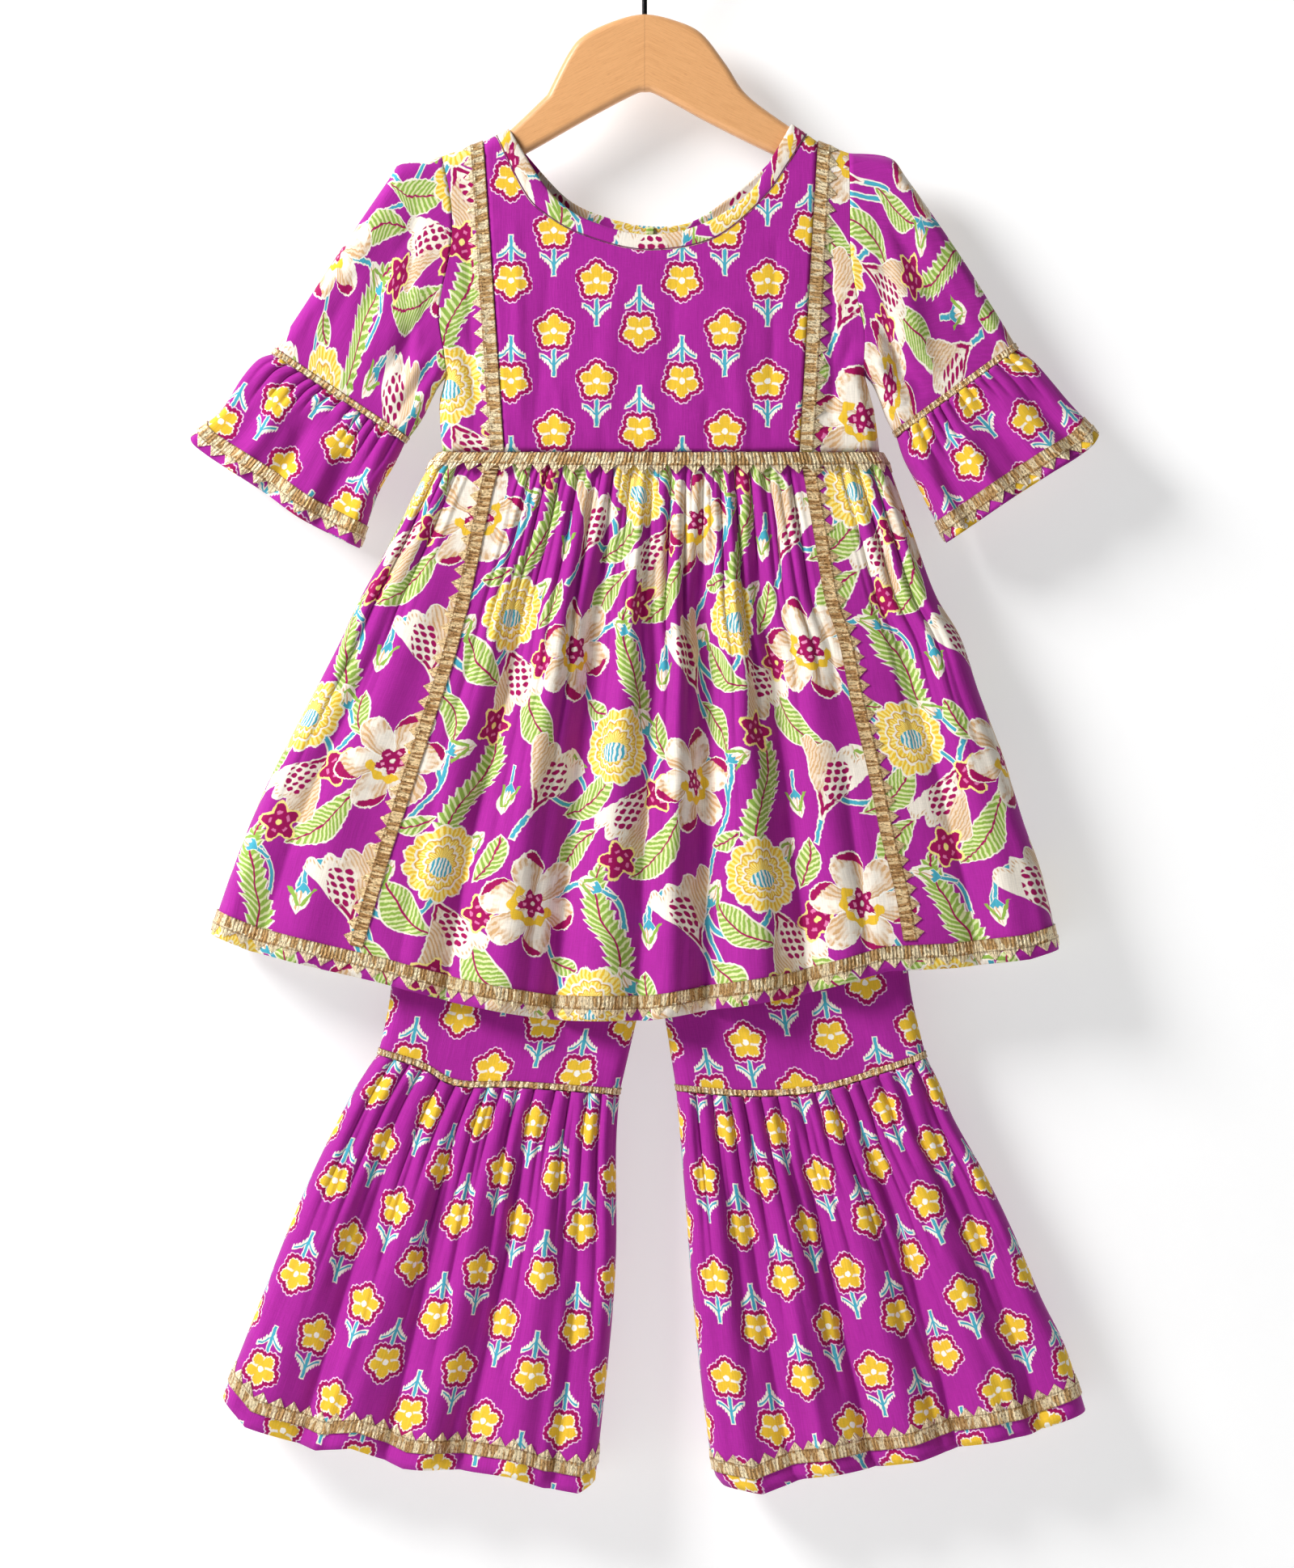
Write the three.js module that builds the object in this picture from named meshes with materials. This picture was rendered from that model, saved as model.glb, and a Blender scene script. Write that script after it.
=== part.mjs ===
// A child's gharara suit on a wooden hanger: kurta with gathered skirt and frilled sleeves,
// and a gharara with gathered flares, hung inside it.
// Millimetres, +Z up, the front faces -Y. The origin is under the top of the hook, where a rail touches.
// "left" is the side at -X, which is the viewer's left.
import * as THREE from 'three';

// Cloth and trim
const CLOTH = 1.2;
const LACE = 1.0;
const RIBBON = 1.0;
const BINDING = 1.4;
const GAP = 0.3;
const SEAM_HALF = GAP / 2;
const GATHER_SEAM = 0.4;

// Toothed lace
const LACE_BAND = 8;
const TOOTH = 5.5;
const TOOTH_PITCH = 9.5;

// Hanger
const BOARD_THICKNESS = 12;
const BOARD_BEVEL = 4;
const WIRE_RADIUS = 1.6;
const CROOK_RADIUS = 18.5;
const BOARD_TOP_Z = -62;

// Half depths of the hanging suit, from its middle plane to the middle of a wall
const SHOULDER_DEPTH = 9;
const WAIST_DEPTH = 13;
const SKIRT_HEM_DEPTH = 24;
const SLEEVE_DEPTH = 12;
const CUFF_DEPTH = 9.5;
const FRILL_HEM_DEPTH = 15;
const WAISTBAND_DEPTH = 7.9;
const UPPER_DEPTH = 8.6;
const FLARE_HEM_DEPTH = 17;

// How soon the cloth reaches its depth from a side edge
const EDGE_RADIUS = 8;
const FULL_EDGE_RADIUS = 11.2;
const FRILL_EDGE_RADIUS = 12.8;

// Levels
const SHOULDER_Z = -145;
const UNDERARM_Z = -286.5;
const WAIST_Z = -335;
const CROTCH_Z = -620;

const BASE_COLOUR = 0xa52b9e;
const FRILL_COLOUR = 0xb03aa8;
const GOLD_COLOUR = 0xc9a25a;
const WOOD_COLOUR = 0xe3c39c;
const WIRE_COLOUR = 0x1c1c1e;

const suit = new THREE.Group();

// Small tools

const clamp01 = (value) => Math.min(1, Math.max(0, value));

const mix = (a, b, t) => a + (b - a) * t;

function smooth(from, to, value) {
  const t = clamp01((value - from) / (to - from));
  return t * t * (3 - 2 * t);
}

// Rises from 0 at an edge to 1 at the given radius, as a quarter circle
function roundRise(distance, radius) {
  const t = clamp01(distance / radius);
  return Math.sqrt(Math.max(0, 1 - (1 - t) ** 2));
}

// A smooth curve through rows of {x, z}, by share of its length
function curveThrough(rows) {
  const curve = new THREE.SplineCurve(rows.map((row) => new THREE.Vector2(row.x, row.z)));
  curve.arcLengthDivisions = 400;
  return (t) => {
    const point = curve.getPointAt(clamp01(t));
    return { x: point.x, z: point.y };
  };
}

// A line of straight stretches through rows of {x, z}, by share of its length
function pathThrough(rows) {
  const path = new THREE.CurvePath();
  for (let i = 1; i < rows.length; i += 1) {
    const from = new THREE.Vector2(rows[i - 1].x, rows[i - 1].z);
    const to = new THREE.Vector2(rows[i].x, rows[i].z);
    path.add(new THREE.LineCurve(from, to));
  }
  return (t) => {
    const point = path.getPointAt(clamp01(t));
    return { x: point.x, z: point.y };
  };
}

// The height of a line of rows {x, z} at a place across, for rows in order of x
function heightAt(rows, x) {
  for (let i = 1; i < rows.length; i += 1) {
    if (x <= rows[i].x || i === rows.length - 1) {
      const t = (x - rows[i - 1].x) / (rows[i].x - rows[i - 1].x);
      return mix(rows[i - 1].z, rows[i].z, t);
    }
  }
  return rows[0].z;
}

// A patch between four curves: top and bottom run across by u, left and right run down by v
function patch(top, bottom, left, right) {
  return (u, v) => {
    const blend = (axis) => {
      const ruled = mix(top(u)[axis], bottom(u)[axis], v) + mix(left(v)[axis], right(v)[axis], u);
      const corners = mix(mix(top(0)[axis], top(1)[axis], u), mix(bottom(0)[axis], bottom(1)[axis], u), v);
      return ruled - corners;
    };
    return { x: blend('x'), z: blend('z') };
  };
}

// The width of a patch at a share of its height
function widthAcross(place, v) {
  const from = place(0, v);
  const to = place(1, v);
  return Math.hypot(to.x - from.x, to.z - from.z);
}

// The distance from a point to a line of straight stretches
function distanceTo(rows, x, z) {
  let nearest = Infinity;
  for (let i = 1; i < rows.length; i += 1) {
    const dx = rows[i].x - rows[i - 1].x;
    const dz = rows[i].z - rows[i - 1].z;
    const along = clamp01(((x - rows[i - 1].x) * dx + (z - rows[i - 1].z) * dz) / (dx * dx + dz * dz));
    const reach = Math.hypot(x - rows[i - 1].x - along * dx, z - rows[i - 1].z - along * dz);
    nearest = Math.min(nearest, reach);
  }
  return nearest;
}

// Troughs (negative height) and ridges run down a panel along a share of its width
function foldHeight(folds, u, v) {
  let height = 0;
  for (const fold of folds) {
    const centre = fold.at + fold.lean * (v - 0.5);
    const side = (u - centre) / fold.width;
    height += fold.height * Math.exp(-side * side) * smooth(fold.from, fold.from + 0.3, v);
  }
  return height;
}

const evenly = (count) => Array.from({ length: count + 1 }, (unused, i) => i / count);

// Cloth is a grid of points on its middle surface, with a normal at each that points out of the suit.
// rows is a list of rows of Vector3. A closed sheet is a tube whose first half of columns is its front.
// lock(r, c) lists the directions that a normal has none of, so that an edge there faces straight that way.
class Sheet {
  constructor(rows, { facing = -1, closed = false, lock = () => [] } = {}) {
    this.rows = rows;
    this.closed = closed;
    this.normals = rows.map((row, r) => row.map((unused, c) => this.normalAt(r, c, lock(r, c))));
    const middle = Math.floor(rows.length / 2);
    const probe = Math.floor(rows[0].length / (closed ? 4 : 2));
    if (this.normals[middle][probe].y * facing < 0) {
      this.normals.flat().forEach((normal) => normal.negate());
    }
  }

  normalAt(r, c, locks) {
    const last = this.rows.length - 1;
    const columns = this.rows[0].length;
    const before = this.closed ? (c + columns - 1) % columns : Math.max(0, c - 1);
    const after = this.closed ? (c + 1) % columns : Math.min(columns - 1, c + 1);
    const along = this.rows[Math.min(last, r + 1)][c].clone().sub(this.rows[Math.max(0, r - 1)][c]);
    const across = this.rows[r][after].clone().sub(this.rows[r][before]);
    const normal = along.cross(across);
    for (const axis of locks) {
      normal.addScaledVector(axis, -normal.dot(axis));
    }
    return normal.normalize();
  }

  // A point moved out from the middle surface, with r and c as row and column and any share between
  at(r, c, out) {
    const columns = this.rows[0].length;
    const r0 = Math.min(Math.floor(r), this.rows.length - 2);
    const c0 = this.closed ? Math.floor(c) : Math.min(Math.floor(c), columns - 2);
    const a = r - r0;
    const b = c - c0;
    const corner = (row, column) => {
      const wrapped = this.closed ? column % columns : column;
      return this.rows[row][wrapped].clone().addScaledVector(this.normals[row][wrapped], out);
    };
    const start = corner(r0, c0);
    const end = corner(r0 + 1, c0 + 1);
    if (a > b) {
      const low = corner(r0 + 1, c0);
      return start.multiplyScalar(1 - a).addScaledVector(low, a - b).addScaledVector(end, b);
    }
    const side = corner(r0, c0 + 1);
    return start.multiplyScalar(1 - b).addScaledVector(side, b - a).addScaledVector(end, a);
  }

  // The row, with its share, that lies a distance along a column from the first row,
  // or from the last row if the distance is negative
  rowAt(column, distance) {
    const whole = Math.floor(column);
    if (column > whole) {
      return mix(this.rowAt(whole, distance), this.rowAt(whole + 1, distance), column - whole);
    }
    const last = this.rows.length - 1;
    const c = column % this.rows[0].length;
    const up = distance < 0;
    let left = Math.abs(distance);
    for (let i = 0; i < last; i += 1) {
      const r = up ? last - i : i;
      const next = up ? r - 1 : r + 1;
      const step = this.rows[r][c].distanceTo(this.rows[next][c]);
      if (left <= step) {
        return mix(r, next, left / step);
      }
      left -= step;
    }
    return up ? 0 : last;
  }
}

// Solids

function addMesh(name, points, triangles, look) {
  let volume = 0;
  for (const [a, b, c] of triangles) {
    volume += points[a].dot(points[b].clone().cross(points[c]));
  }
  const geometry = new THREE.BufferGeometry();
  const order = volume > 0 ? triangles : triangles.map(([a, b, c]) => [a, c, b]);
  geometry.setIndex(order.flat());
  geometry.setAttribute('position', new THREE.Float32BufferAttribute(points.flatMap((p) => p.toArray()), 3));
  geometry.computeVertexNormals();
  const mesh = new THREE.Mesh(geometry, new THREE.MeshStandardMaterial(look));
  mesh.name = name;
  suit.add(mesh);
}

// The wall of a sheet: both faces and the edges between them
function addWall(name, sheet, thickness, look) {
  const rows = sheet.rows.length;
  const columns = sheet.rows[0].length;
  const points = [];
  const half = thickness / 2;
  for (const side of [half, -half]) {
    for (let r = 0; r < rows; r += 1) {
      for (let c = 0; c < columns; c += 1) {
        points.push(sheet.rows[r][c].clone().addScaledVector(sheet.normals[r][c], side));
      }
    }
  }
  const outer = (r, c) => r * columns + (c % columns);
  const inner = (r, c) => rows * columns + outer(r, c);
  const triangles = [];
  const cells = sheet.closed ? columns : columns - 1;
  for (let c = 0; c < cells; c += 1) {
    for (let r = 0; r < rows - 1; r += 1) {
      triangles.push([outer(r, c), outer(r + 1, c), outer(r + 1, c + 1)]);
      triangles.push([outer(r, c), outer(r + 1, c + 1), outer(r, c + 1)]);
      triangles.push([inner(r, c), inner(r + 1, c + 1), inner(r + 1, c)]);
      triangles.push([inner(r, c), inner(r, c + 1), inner(r + 1, c + 1)]);
    }
    const end = rows - 1;
    triangles.push([outer(0, c), outer(0, c + 1), inner(0, c + 1)]);
    triangles.push([outer(0, c), inner(0, c + 1), inner(0, c)]);
    triangles.push([outer(end, c), inner(end, c + 1), outer(end, c + 1)]);
    triangles.push([outer(end, c), inner(end, c), inner(end, c + 1)]);
  }
  if (!sheet.closed) {
    const end = columns - 1;
    for (let r = 0; r < rows - 1; r += 1) {
      triangles.push([outer(r, 0), inner(r, 0), inner(r + 1, 0)]);
      triangles.push([outer(r, 0), inner(r + 1, 0), outer(r + 1, 0)]);
      triangles.push([outer(r, end), inner(r + 1, end), inner(r, end)]);
      triangles.push([outer(r, end), outer(r + 1, end), inner(r + 1, end)]);
    }
  }
  addMesh(name, points, triangles, look);
}

// A toothed lace. stations is a list of places along it. point(station, across, out) gives a point at a
// distance across from the straight edge, moved out from the panel. One tooth stands between two stations.
function addLace(name, stations, point, out, { closed = false } = {}) {
  const points = [];
  const triangles = [];
  const count = stations.length;
  const faces = [out + LACE / 2, out - LACE / 2];
  for (const face of faces) {
    for (const station of stations) {
      points.push(point(station, 0, face), point(station, LACE_BAND, face));
    }
  }
  const teeth = closed ? count : count - 1;
  const side = count * 2;
  const tipStart = points.length;
  for (const face of faces) {
    for (let i = 0; i < teeth; i += 1) {
      const next = i + 1 < count ? stations[i + 1] : stations[i] + 1;
      points.push(point((stations[i] + next) / 2, LACE_BAND + TOOTH, face));
    }
  }
  for (let i = 0; i < teeth; i += 1) {
    const j = (i + 1) % count;
    const [edge, root, edgeNext, rootNext] = [i * 2, i * 2 + 1, j * 2, j * 2 + 1];
    const tip = tipStart + i;
    const tipBack = tip + teeth;
    triangles.push([edge, edgeNext, rootNext], [edge, rootNext, root]);
    triangles.push([root, rootNext, tip]);
    triangles.push([edge + side, rootNext + side, edgeNext + side]);
    triangles.push([edge + side, root + side, rootNext + side]);
    triangles.push([root + side, tipBack, rootNext + side]);
    triangles.push([edge, edge + side, edgeNext + side], [edge, edgeNext + side, edgeNext]);
    triangles.push([root, tip, tipBack], [root, tipBack, root + side]);
    triangles.push([tip, rootNext, rootNext + side], [tip, rootNext + side, tipBack]);
  }
  if (!closed) {
    const last = (count - 1) * 2;
    triangles.push([0, 1, 1 + side], [0, 1 + side, side]);
    triangles.push([last, last + side, last + 1 + side], [last, last + 1 + side, last + 1]);
  }
  addMesh(name, points, triangles, { color: GOLD_COLOUR, roughness: 0.4, metalness: 0.7 });
}

const PRINTED = { color: BASE_COLOUR, roughness: 0.85, metalness: 0 };
const SPRIGGED = { color: FRILL_COLOUR, roughness: 0.85, metalness: 0 };
const GOLD = { color: GOLD_COLOUR, roughness: 0.4, metalness: 0.7 };

const LACE_OUT = CLOTH / 2 + GAP + LACE / 2;
const RIBBON_OUT = CLOTH / 2 + GAP + RIBBON / 2;

// Outlines of the kurta, as {x, z} in the plane of the front

const SHOULDER_LINE = [
  { x: -152, z: -154.5 },
  { x: -127.5, z: -150.5 },
  { x: -101.5, z: -141.5 },
  { x: -86, z: -133.5 },
  { x: 0, z: -90 },
  { x: 90, z: -130.5 },
  { x: 106, z: -141.5 },
  { x: 125.5, z: -148.5 },
  { x: 152, z: -152.5 },
];

const SIDES = {
  left: {
    sign: -1,
    neckEnd: { x: -86, z: -133.5 },
    bindingFoot: { x: -94, z: -137.6 },
    laceTop: { x: -101.5, z: -141.5 },
    laceFoot: { x: -88.5, z: WAIST_Z },
    armhole: [
      { x: -127.5, z: -150.5 },
      { x: -121.5, z: -181 },
      { x: -122, z: -208.5 },
      { x: -129, z: -246 },
      { x: -126, z: -272 },
      { x: -125, z: UNDERARM_Z },
    ],
    side: [
      { x: -125, z: UNDERARM_Z },
      { x: -129, z: -305.5 },
      { x: -127, z: WAIST_Z },
    ],
    sleeveOuter: [
      { x: -127.5, z: -150.5 },
      { x: -152, z: -154.5 },
      { x: -160.5, z: -165 },
      { x: -190.5, z: -209 },
      { x: -215.5, z: -247 },
      { x: -233, z: -273.5 },
    ],
    sleeveUnder: [
      { x: -125, z: UNDERARM_Z },
      { x: -129.3, z: -292 },
      { x: -133.5, z: -300 },
      { x: -141, z: -315 },
      { x: -151, z: -328.5 },
    ],
    frillOuter: [
      { x: -233, z: -273.5 },
      { x: -242, z: -277 },
      { x: -252, z: -288.5 },
      { x: -263.5, z: -307 },
      { x: -273.5, z: -316.5 },
      { x: -283.5, z: -325 },
    ],
    frillInner: [
      { x: -151, z: -328.5 },
      { x: -157.5, z: -342 },
      { x: -167.5, z: -360 },
      { x: -175.5, z: -383 },
      { x: -179, z: -394 },
    ],
    frillHem: [
      { x: -283.5, z: -325 },
      { x: -280, z: -331.5 },
      { x: -262, z: -344 },
      { x: -240, z: -358 },
      { x: -218, z: -374 },
      { x: -194, z: -386.5 },
      { x: -179, z: -394 },
    ],
  },
  right: {
    sign: 1,
    neckEnd: { x: 90, z: -130.5 },
    bindingFoot: { x: 99.5, z: -137.1 },
    laceTop: { x: 106, z: -141.5 },
    laceFoot: { x: 94.5, z: WAIST_Z },
    armhole: [
      { x: 125.5, z: -148.5 },
      { x: 126, z: -180 },
      { x: 126.5, z: -214.5 },
      { x: 130.5, z: -239.5 },
      { x: 135, z: -261.5 },
      { x: 135, z: -285 },
    ],
    side: [
      { x: 135, z: -285 },
      { x: 141, z: -308.5 },
      { x: 144.5, z: WAIST_Z },
    ],
    sleeveOuter: [
      { x: 125.5, z: -148.5 },
      { x: 150, z: -151 },
      { x: 162, z: -165 },
      { x: 194.5, z: -212 },
      { x: 219.5, z: -252 },
      { x: 230.5, z: -270.5 },
    ],
    sleeveUnder: [
      { x: 135, z: -285 },
      { x: 140.5, z: -292 },
      { x: 145, z: -302 },
      { x: 149, z: -313 },
      { x: 155.5, z: -325 },
    ],
    frillOuter: [
      { x: 230.5, z: -270.5 },
      { x: 241, z: -278.5 },
      { x: 252, z: -291 },
      { x: 262.5, z: -303.5 },
      { x: 281, z: -323.5 },
    ],
    frillInner: [
      { x: 155.5, z: -325 },
      { x: 160, z: -338.5 },
      { x: 167, z: -352 },
      { x: 175, z: -368 },
      { x: 186.5, z: -390.5 },
    ],
    frillHem: [
      { x: 281, z: -323.5 },
      { x: 274, z: -333 },
      { x: 252, z: -347 },
      { x: 230, z: -361 },
      { x: 208, z: -376 },
      { x: 186.5, z: -390.5 },
    ],
  },
};

const FRONT_NECK = {
  inner: [
    SIDES.left.neckEnd,
    { x: -68, z: -163 },
    { x: -55.5, z: -178.5 },
    { x: -36.5, z: -191 },
    { x: -0.5, z: -200 },
    { x: 34, z: -193.5 },
    { x: 63, z: -174.5 },
    { x: 78.5, z: -150.5 },
    SIDES.right.neckEnd,
  ],
  outer: [
    SIDES.left.bindingFoot,
    { x: -76, z: -174.5 },
    { x: -61, z: -189 },
    { x: -39, z: -200.5 },
    { x: -2, z: -209.5 },
    { x: 40, z: -203 },
    { x: 71, z: -178.5 },
    { x: 87.5, z: -156 },
    SIDES.right.bindingFoot,
  ],
};

const BACK_NECK = {
  inner: [
    SIDES.left.neckEnd,
    { x: -74.5, z: -149 },
    { x: -49, z: -176 },
    { x: -23.5, z: -187.5 },
    { x: 2, z: -192.5 },
    { x: 27.5, z: -190 },
    { x: 53, z: -173.5 },
    { x: 78.5, z: -150.5 },
    SIDES.right.neckEnd,
  ],
  outer: [
    SIDES.left.bindingFoot,
    { x: -83, z: -157 },
    { x: -54, z: -186.5 },
    { x: -26, z: -198.5 },
    { x: 2, z: -203.5 },
    { x: 30, z: -201 },
    { x: 59, z: -183.5 },
    { x: 87, z: -159 },
    SIDES.right.bindingFoot,
  ],
};

// Depth of the bodice: over the hanger at the shoulder, closed at the side seams

function bodiceDepth(x, z) {
  const down = heightAt(SHOULDER_LINE, x) - z;
  const side = x < 0 ? SIDES.left.side : SIDES.right.side;
  const body = mix(SHOULDER_DEPTH, WAIST_DEPTH, smooth(SHOULDER_Z, WAIST_Z, z));
  const edge = roundRise(down, EDGE_RADIUS) * roundRise(distanceTo(side, x, z), EDGE_RADIUS);
  return SEAM_HALF + (body - SEAM_HALF) * edge;
}

const front = -1;
const back = 1;

function bodicePoint(facing, x, z) {
  return new THREE.Vector3(x, facing * bodiceDepth(x, z), z);
}

// Shares down the armhole, close together over the shoulder and at the underarm, where the cloth turns
const ARMHOLE_SHARES = [0, 0.009, 0.03, 0.07, 0.25, 0.5, 0.75, 0.94, 1];
const UNDERARM_SHARE = 0.735;
const BODICE_ROWS = [...ARMHOLE_SHARES.map((share) => share * UNDERARM_SHARE), 0.77, 0.86, 1];
const CENTRE_ROWS = [0, 0.0063, 0.021, 0.05, 0.25, 0.6, 1];

// Armhole and side seam together, by share of height
function armSide(side) {
  const rows = [...side.armhole, ...side.side.slice(1)];
  const top = rows[0].z;
  const foot = rows[rows.length - 1].z;
  const curve = curveThrough(rows);
  return (v) => {
    const z = mix(top, foot, v);
    let low = 0;
    let high = 1;
    for (let i = 0; i < 30; i += 1) {
      const middle = (low + high) / 2;
      if (curve(middle).z > z) {
        low = middle;
      } else {
        high = middle;
      }
    }
    return { x: curve(low).x, z };
  };
}

function shifted(curve, dx) {
  return (t) => {
    const point = curve(t);
    return { x: point.x + dx, z: point.z };
  };
}

// Locks for the edges of a sheet: one direction for each edge, and both at a corner
function edgeLock(rowCount, columnCount, { top, foot, first, last }) {
  return (r, c) => {
    const locks = [];
    if (c === 0 && first) {
      locks.push(first(r));
    }
    if (c === columnCount - 1 && last) {
      locks.push(last(r));
    }
    if (r === 0 && top) {
      locks.push(top);
    }
    if (r === rowCount - 1 && foot) {
      locks.push(foot);
    }
    return locks;
  };
}

const X_AXIS = new THREE.Vector3(1, 0, 0);
const Y_AXIS = new THREE.Vector3(0, 1, 0);
const Z_AXIS = new THREE.Vector3(0, 0, 1);
const alwaysX = () => X_AXIS;
const alwaysY = () => Y_AXIS;

// A curve moved sideways by an amount, to the left of its own direction
function offsetCurve(curve, amount) {
  const step = 0.004;
  return (t) => {
    const from = curve(t - step);
    const to = curve(t + step);
    const length = Math.hypot(to.x - from.x, to.z - from.z);
    const point = curve(t);
    return {
      x: point.x - ((to.z - from.z) / length) * amount,
      z: point.z + ((to.x - from.x) / length) * amount,
    };
  };
}

function gridOf(rowShares, columnShares, place) {
  return rowShares.map((v) => columnShares.map((u) => place(u, v)));
}

// The armhole edge faces across, and the side seam below it faces the other panel
function armSideLock(shares) {
  return (r) => (shares[r] < UNDERARM_SHARE + 0.001 ? X_AXIS : Y_AXIS);
}

// Front side panels, between the lace line and the armhole and side seam
const SIDE_COLUMNS = [0, 0.06, 0.2, 0.5, 1];
const sidePanels = {};
for (const [name, side] of Object.entries(SIDES)) {
  const outer = shifted(armSide(side), -side.sign * SEAM_HALF);
  const inner = shifted(pathThrough([side.laceTop, side.laceFoot]), side.sign * SEAM_HALF);
  const place = (u, v) => {
    const x = mix(outer(v).x, inner(v).x, u);
    const z = mix(outer(v).z, inner(v).z, u);
    return bodicePoint(front, x, Math.max(z, WAIST_Z + SEAM_HALF));
  };
  const grid = gridOf(BODICE_ROWS, SIDE_COLUMNS, place);
  const lock = edgeLock(grid.length, SIDE_COLUMNS.length, {
    top: Y_AXIS,
    foot: Z_AXIS,
    first: armSideLock(BODICE_ROWS),
    last: alwaysX,
  });
  sidePanels[name] = new Sheet(grid, { lock });
  addWall(`bodice_front_${name}`, sidePanels[name], CLOTH, PRINTED);
}

// Neck curves share their places along, closer together over the shoulders
const NECK_SHARES = [
  0, 0.002, 0.006, 0.018, 0.045, 0.14, 0.23, 0.32, 0.41, 0.5,
  0.59, 0.68, 0.77, 0.86, 0.955, 0.982, 0.994, 0.998, 1,
];
const frontNeckOuter = curveThrough(FRONT_NECK.outer);
const frontNeckInner = curveThrough(FRONT_NECK.inner);
const backNeckOuter = curveThrough(BACK_NECK.outer);
const backNeckInner = curveThrough(BACK_NECK.inner);

// A panel whose columns run from a list of top points down to the waist line
function columnPanel(facing, shares, tops, footLeft, footRight, bulge = () => 0) {
  const firstX = tops[0].x;
  const span = tops[tops.length - 1].x - firstX;
  return shares.map((v) => tops.map((top) => {
    const share = (top.x - firstX) / span;
    const x = mix(top.x, mix(footLeft, footRight, share), v) + bulge(v) * (1 - share);
    return bodicePoint(facing, x, mix(top.z, WAIST_Z + SEAM_HALF, v));
  }));
}

// How far the neck edge of a panel stands off the end of the binding, over the shoulder
const NECK_END_SPACE = 0.6;

// Front centre panel, from one princess line to the other, with the neck cut out
{
  const { left, right } = SIDES;
  const seam = offsetCurve(frontNeckOuter, -SEAM_HALF);
  const tops = NECK_SHARES.map(seam);
  tops[0].x -= NECK_END_SPACE;
  tops[tops.length - 1].x += NECK_END_SPACE;
  tops.unshift({ x: left.laceTop.x + SEAM_HALF, z: left.laceTop.z });
  tops.push({ x: right.laceTop.x - SEAM_HALF, z: right.laceTop.z });
  const foot = [left.laceFoot.x + SEAM_HALF, right.laceFoot.x - SEAM_HALF];
  const grid = columnPanel(front, CENTRE_ROWS, tops, ...foot);
  const lock = edgeLock(grid.length, tops.length, { foot: Z_AXIS, first: alwaysX, last: alwaysX });
  addWall('bodice_front_centre', new Sheet(grid, { facing: front, lock }), CLOTH, SPRIGGED);
}

// Back panels, left and right of the centre back opening
const OPENING_X = 2;
const BACK_SHARES = [0, 0.004, 0.012, 0.036, 0.09, 0.3, 0.53, 0.77, 1];
for (const [name, side] of Object.entries(SIDES)) {
  const seam = offsetCurve(backNeckOuter, -SEAM_HALF);
  const half = side.sign < 0 ? (t) => seam(t * 0.5) : (t) => seam(1 - t * 0.5);
  const tops = BACK_SHARES.map(half);
  const centreX = OPENING_X + side.sign * SEAM_HALF;
  tops[0].x += side.sign * NECK_END_SPACE;
  tops[tops.length - 1].x = centreX;
  tops.unshift({ x: side.armhole[0].x - side.sign * SEAM_HALF, z: side.armhole[0].z }, side.laceTop);
  const outer = shifted(armSide(side), -side.sign * SEAM_HALF);
  const bulge = (v) => outer(v).x - mix(tops[0].x, outer(1).x, v);
  const grid = columnPanel(back, BODICE_ROWS, tops, outer(1).x, centreX, bulge);
  const lock = edgeLock(grid.length, tops.length, {
    foot: Z_AXIS,
    first: armSideLock(BODICE_ROWS),
    last: alwaysX,
  });
  addWall(`bodice_back_${name}`, new Sheet(grid, { facing: back, lock }), CLOTH, PRINTED);
}

// Neck bindings. An inset moves a point across, and only the ends at the centre back have one.
function addBinding(name, facing, inner, outer, shares, insets) {
  const seam = offsetCurve(outer, SEAM_HALF);
  const grid = [inner, seam].map((edge) => shares.map((t, c) => {
    const point = edge(t);
    return bodicePoint(facing, point.x + insets[c], point.z);
  }));
  const lock = edgeLock(grid.length + 1, shares.length, {
    first: insets[0] ? alwaysX : alwaysY,
    last: insets[shares.length - 1] ? alwaysX : alwaysY,
  });
  addWall(name, new Sheet(grid, { facing, lock }), BINDING, PRINTED);
}

{
  const noInsets = NECK_SHARES.map(() => 0);
  addBinding('neck_binding_front', front, frontNeckInner, frontNeckOuter, NECK_SHARES, noInsets);
  const toOpening = OPENING_X - backNeckInner(0.5).x;
  const halves = {
    left: { shares: BACK_SHARES.map((t) => t * 0.5), inset: toOpening - SEAM_HALF },
    right: { shares: BACK_SHARES.map((t) => 1 - t * 0.5).reverse(), inset: toOpening + SEAM_HALF },
  };
  for (const [name, { shares, inset }] of Object.entries(halves)) {
    const insets = shares.map((t) => (t === 0.5 ? inset : 0));
    addBinding(`neck_binding_back_${name}`, back, backNeckInner, backNeckOuter, shares, insets);
  }
}

// Placket strip behind the centre back opening, on the inner side of the back panels
const PLACKET_WIDTH = 5;
const PLACKET_LENGTH = 110;
const PLACKET_DROP = 0.5;
const PLACKET_IN = BINDING / 2 + GAP + CLOTH / 2;
{
  const top = backNeckInner(0.5).z;
  const grid = evenly(4).map((v) => [-0.5, 0.5].map((side) => {
    const x = OPENING_X + side * PLACKET_WIDTH;
    const z = top - PLACKET_DROP - v * PLACKET_LENGTH;
    return new THREE.Vector3(x, bodiceDepth(x, z) - PLACKET_IN, z);
  }));
  addWall('back_placket', new Sheet(grid, { facing: back }), CLOTH, PRINTED);
}

// Sleeves, frills and their trims

// The straight direction across a seam between two points, level with the front
function acrossSeam(from, to) {
  return new THREE.Vector3(-(to.z - from.z), 0, to.x - from.x).normalize();
}

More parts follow.
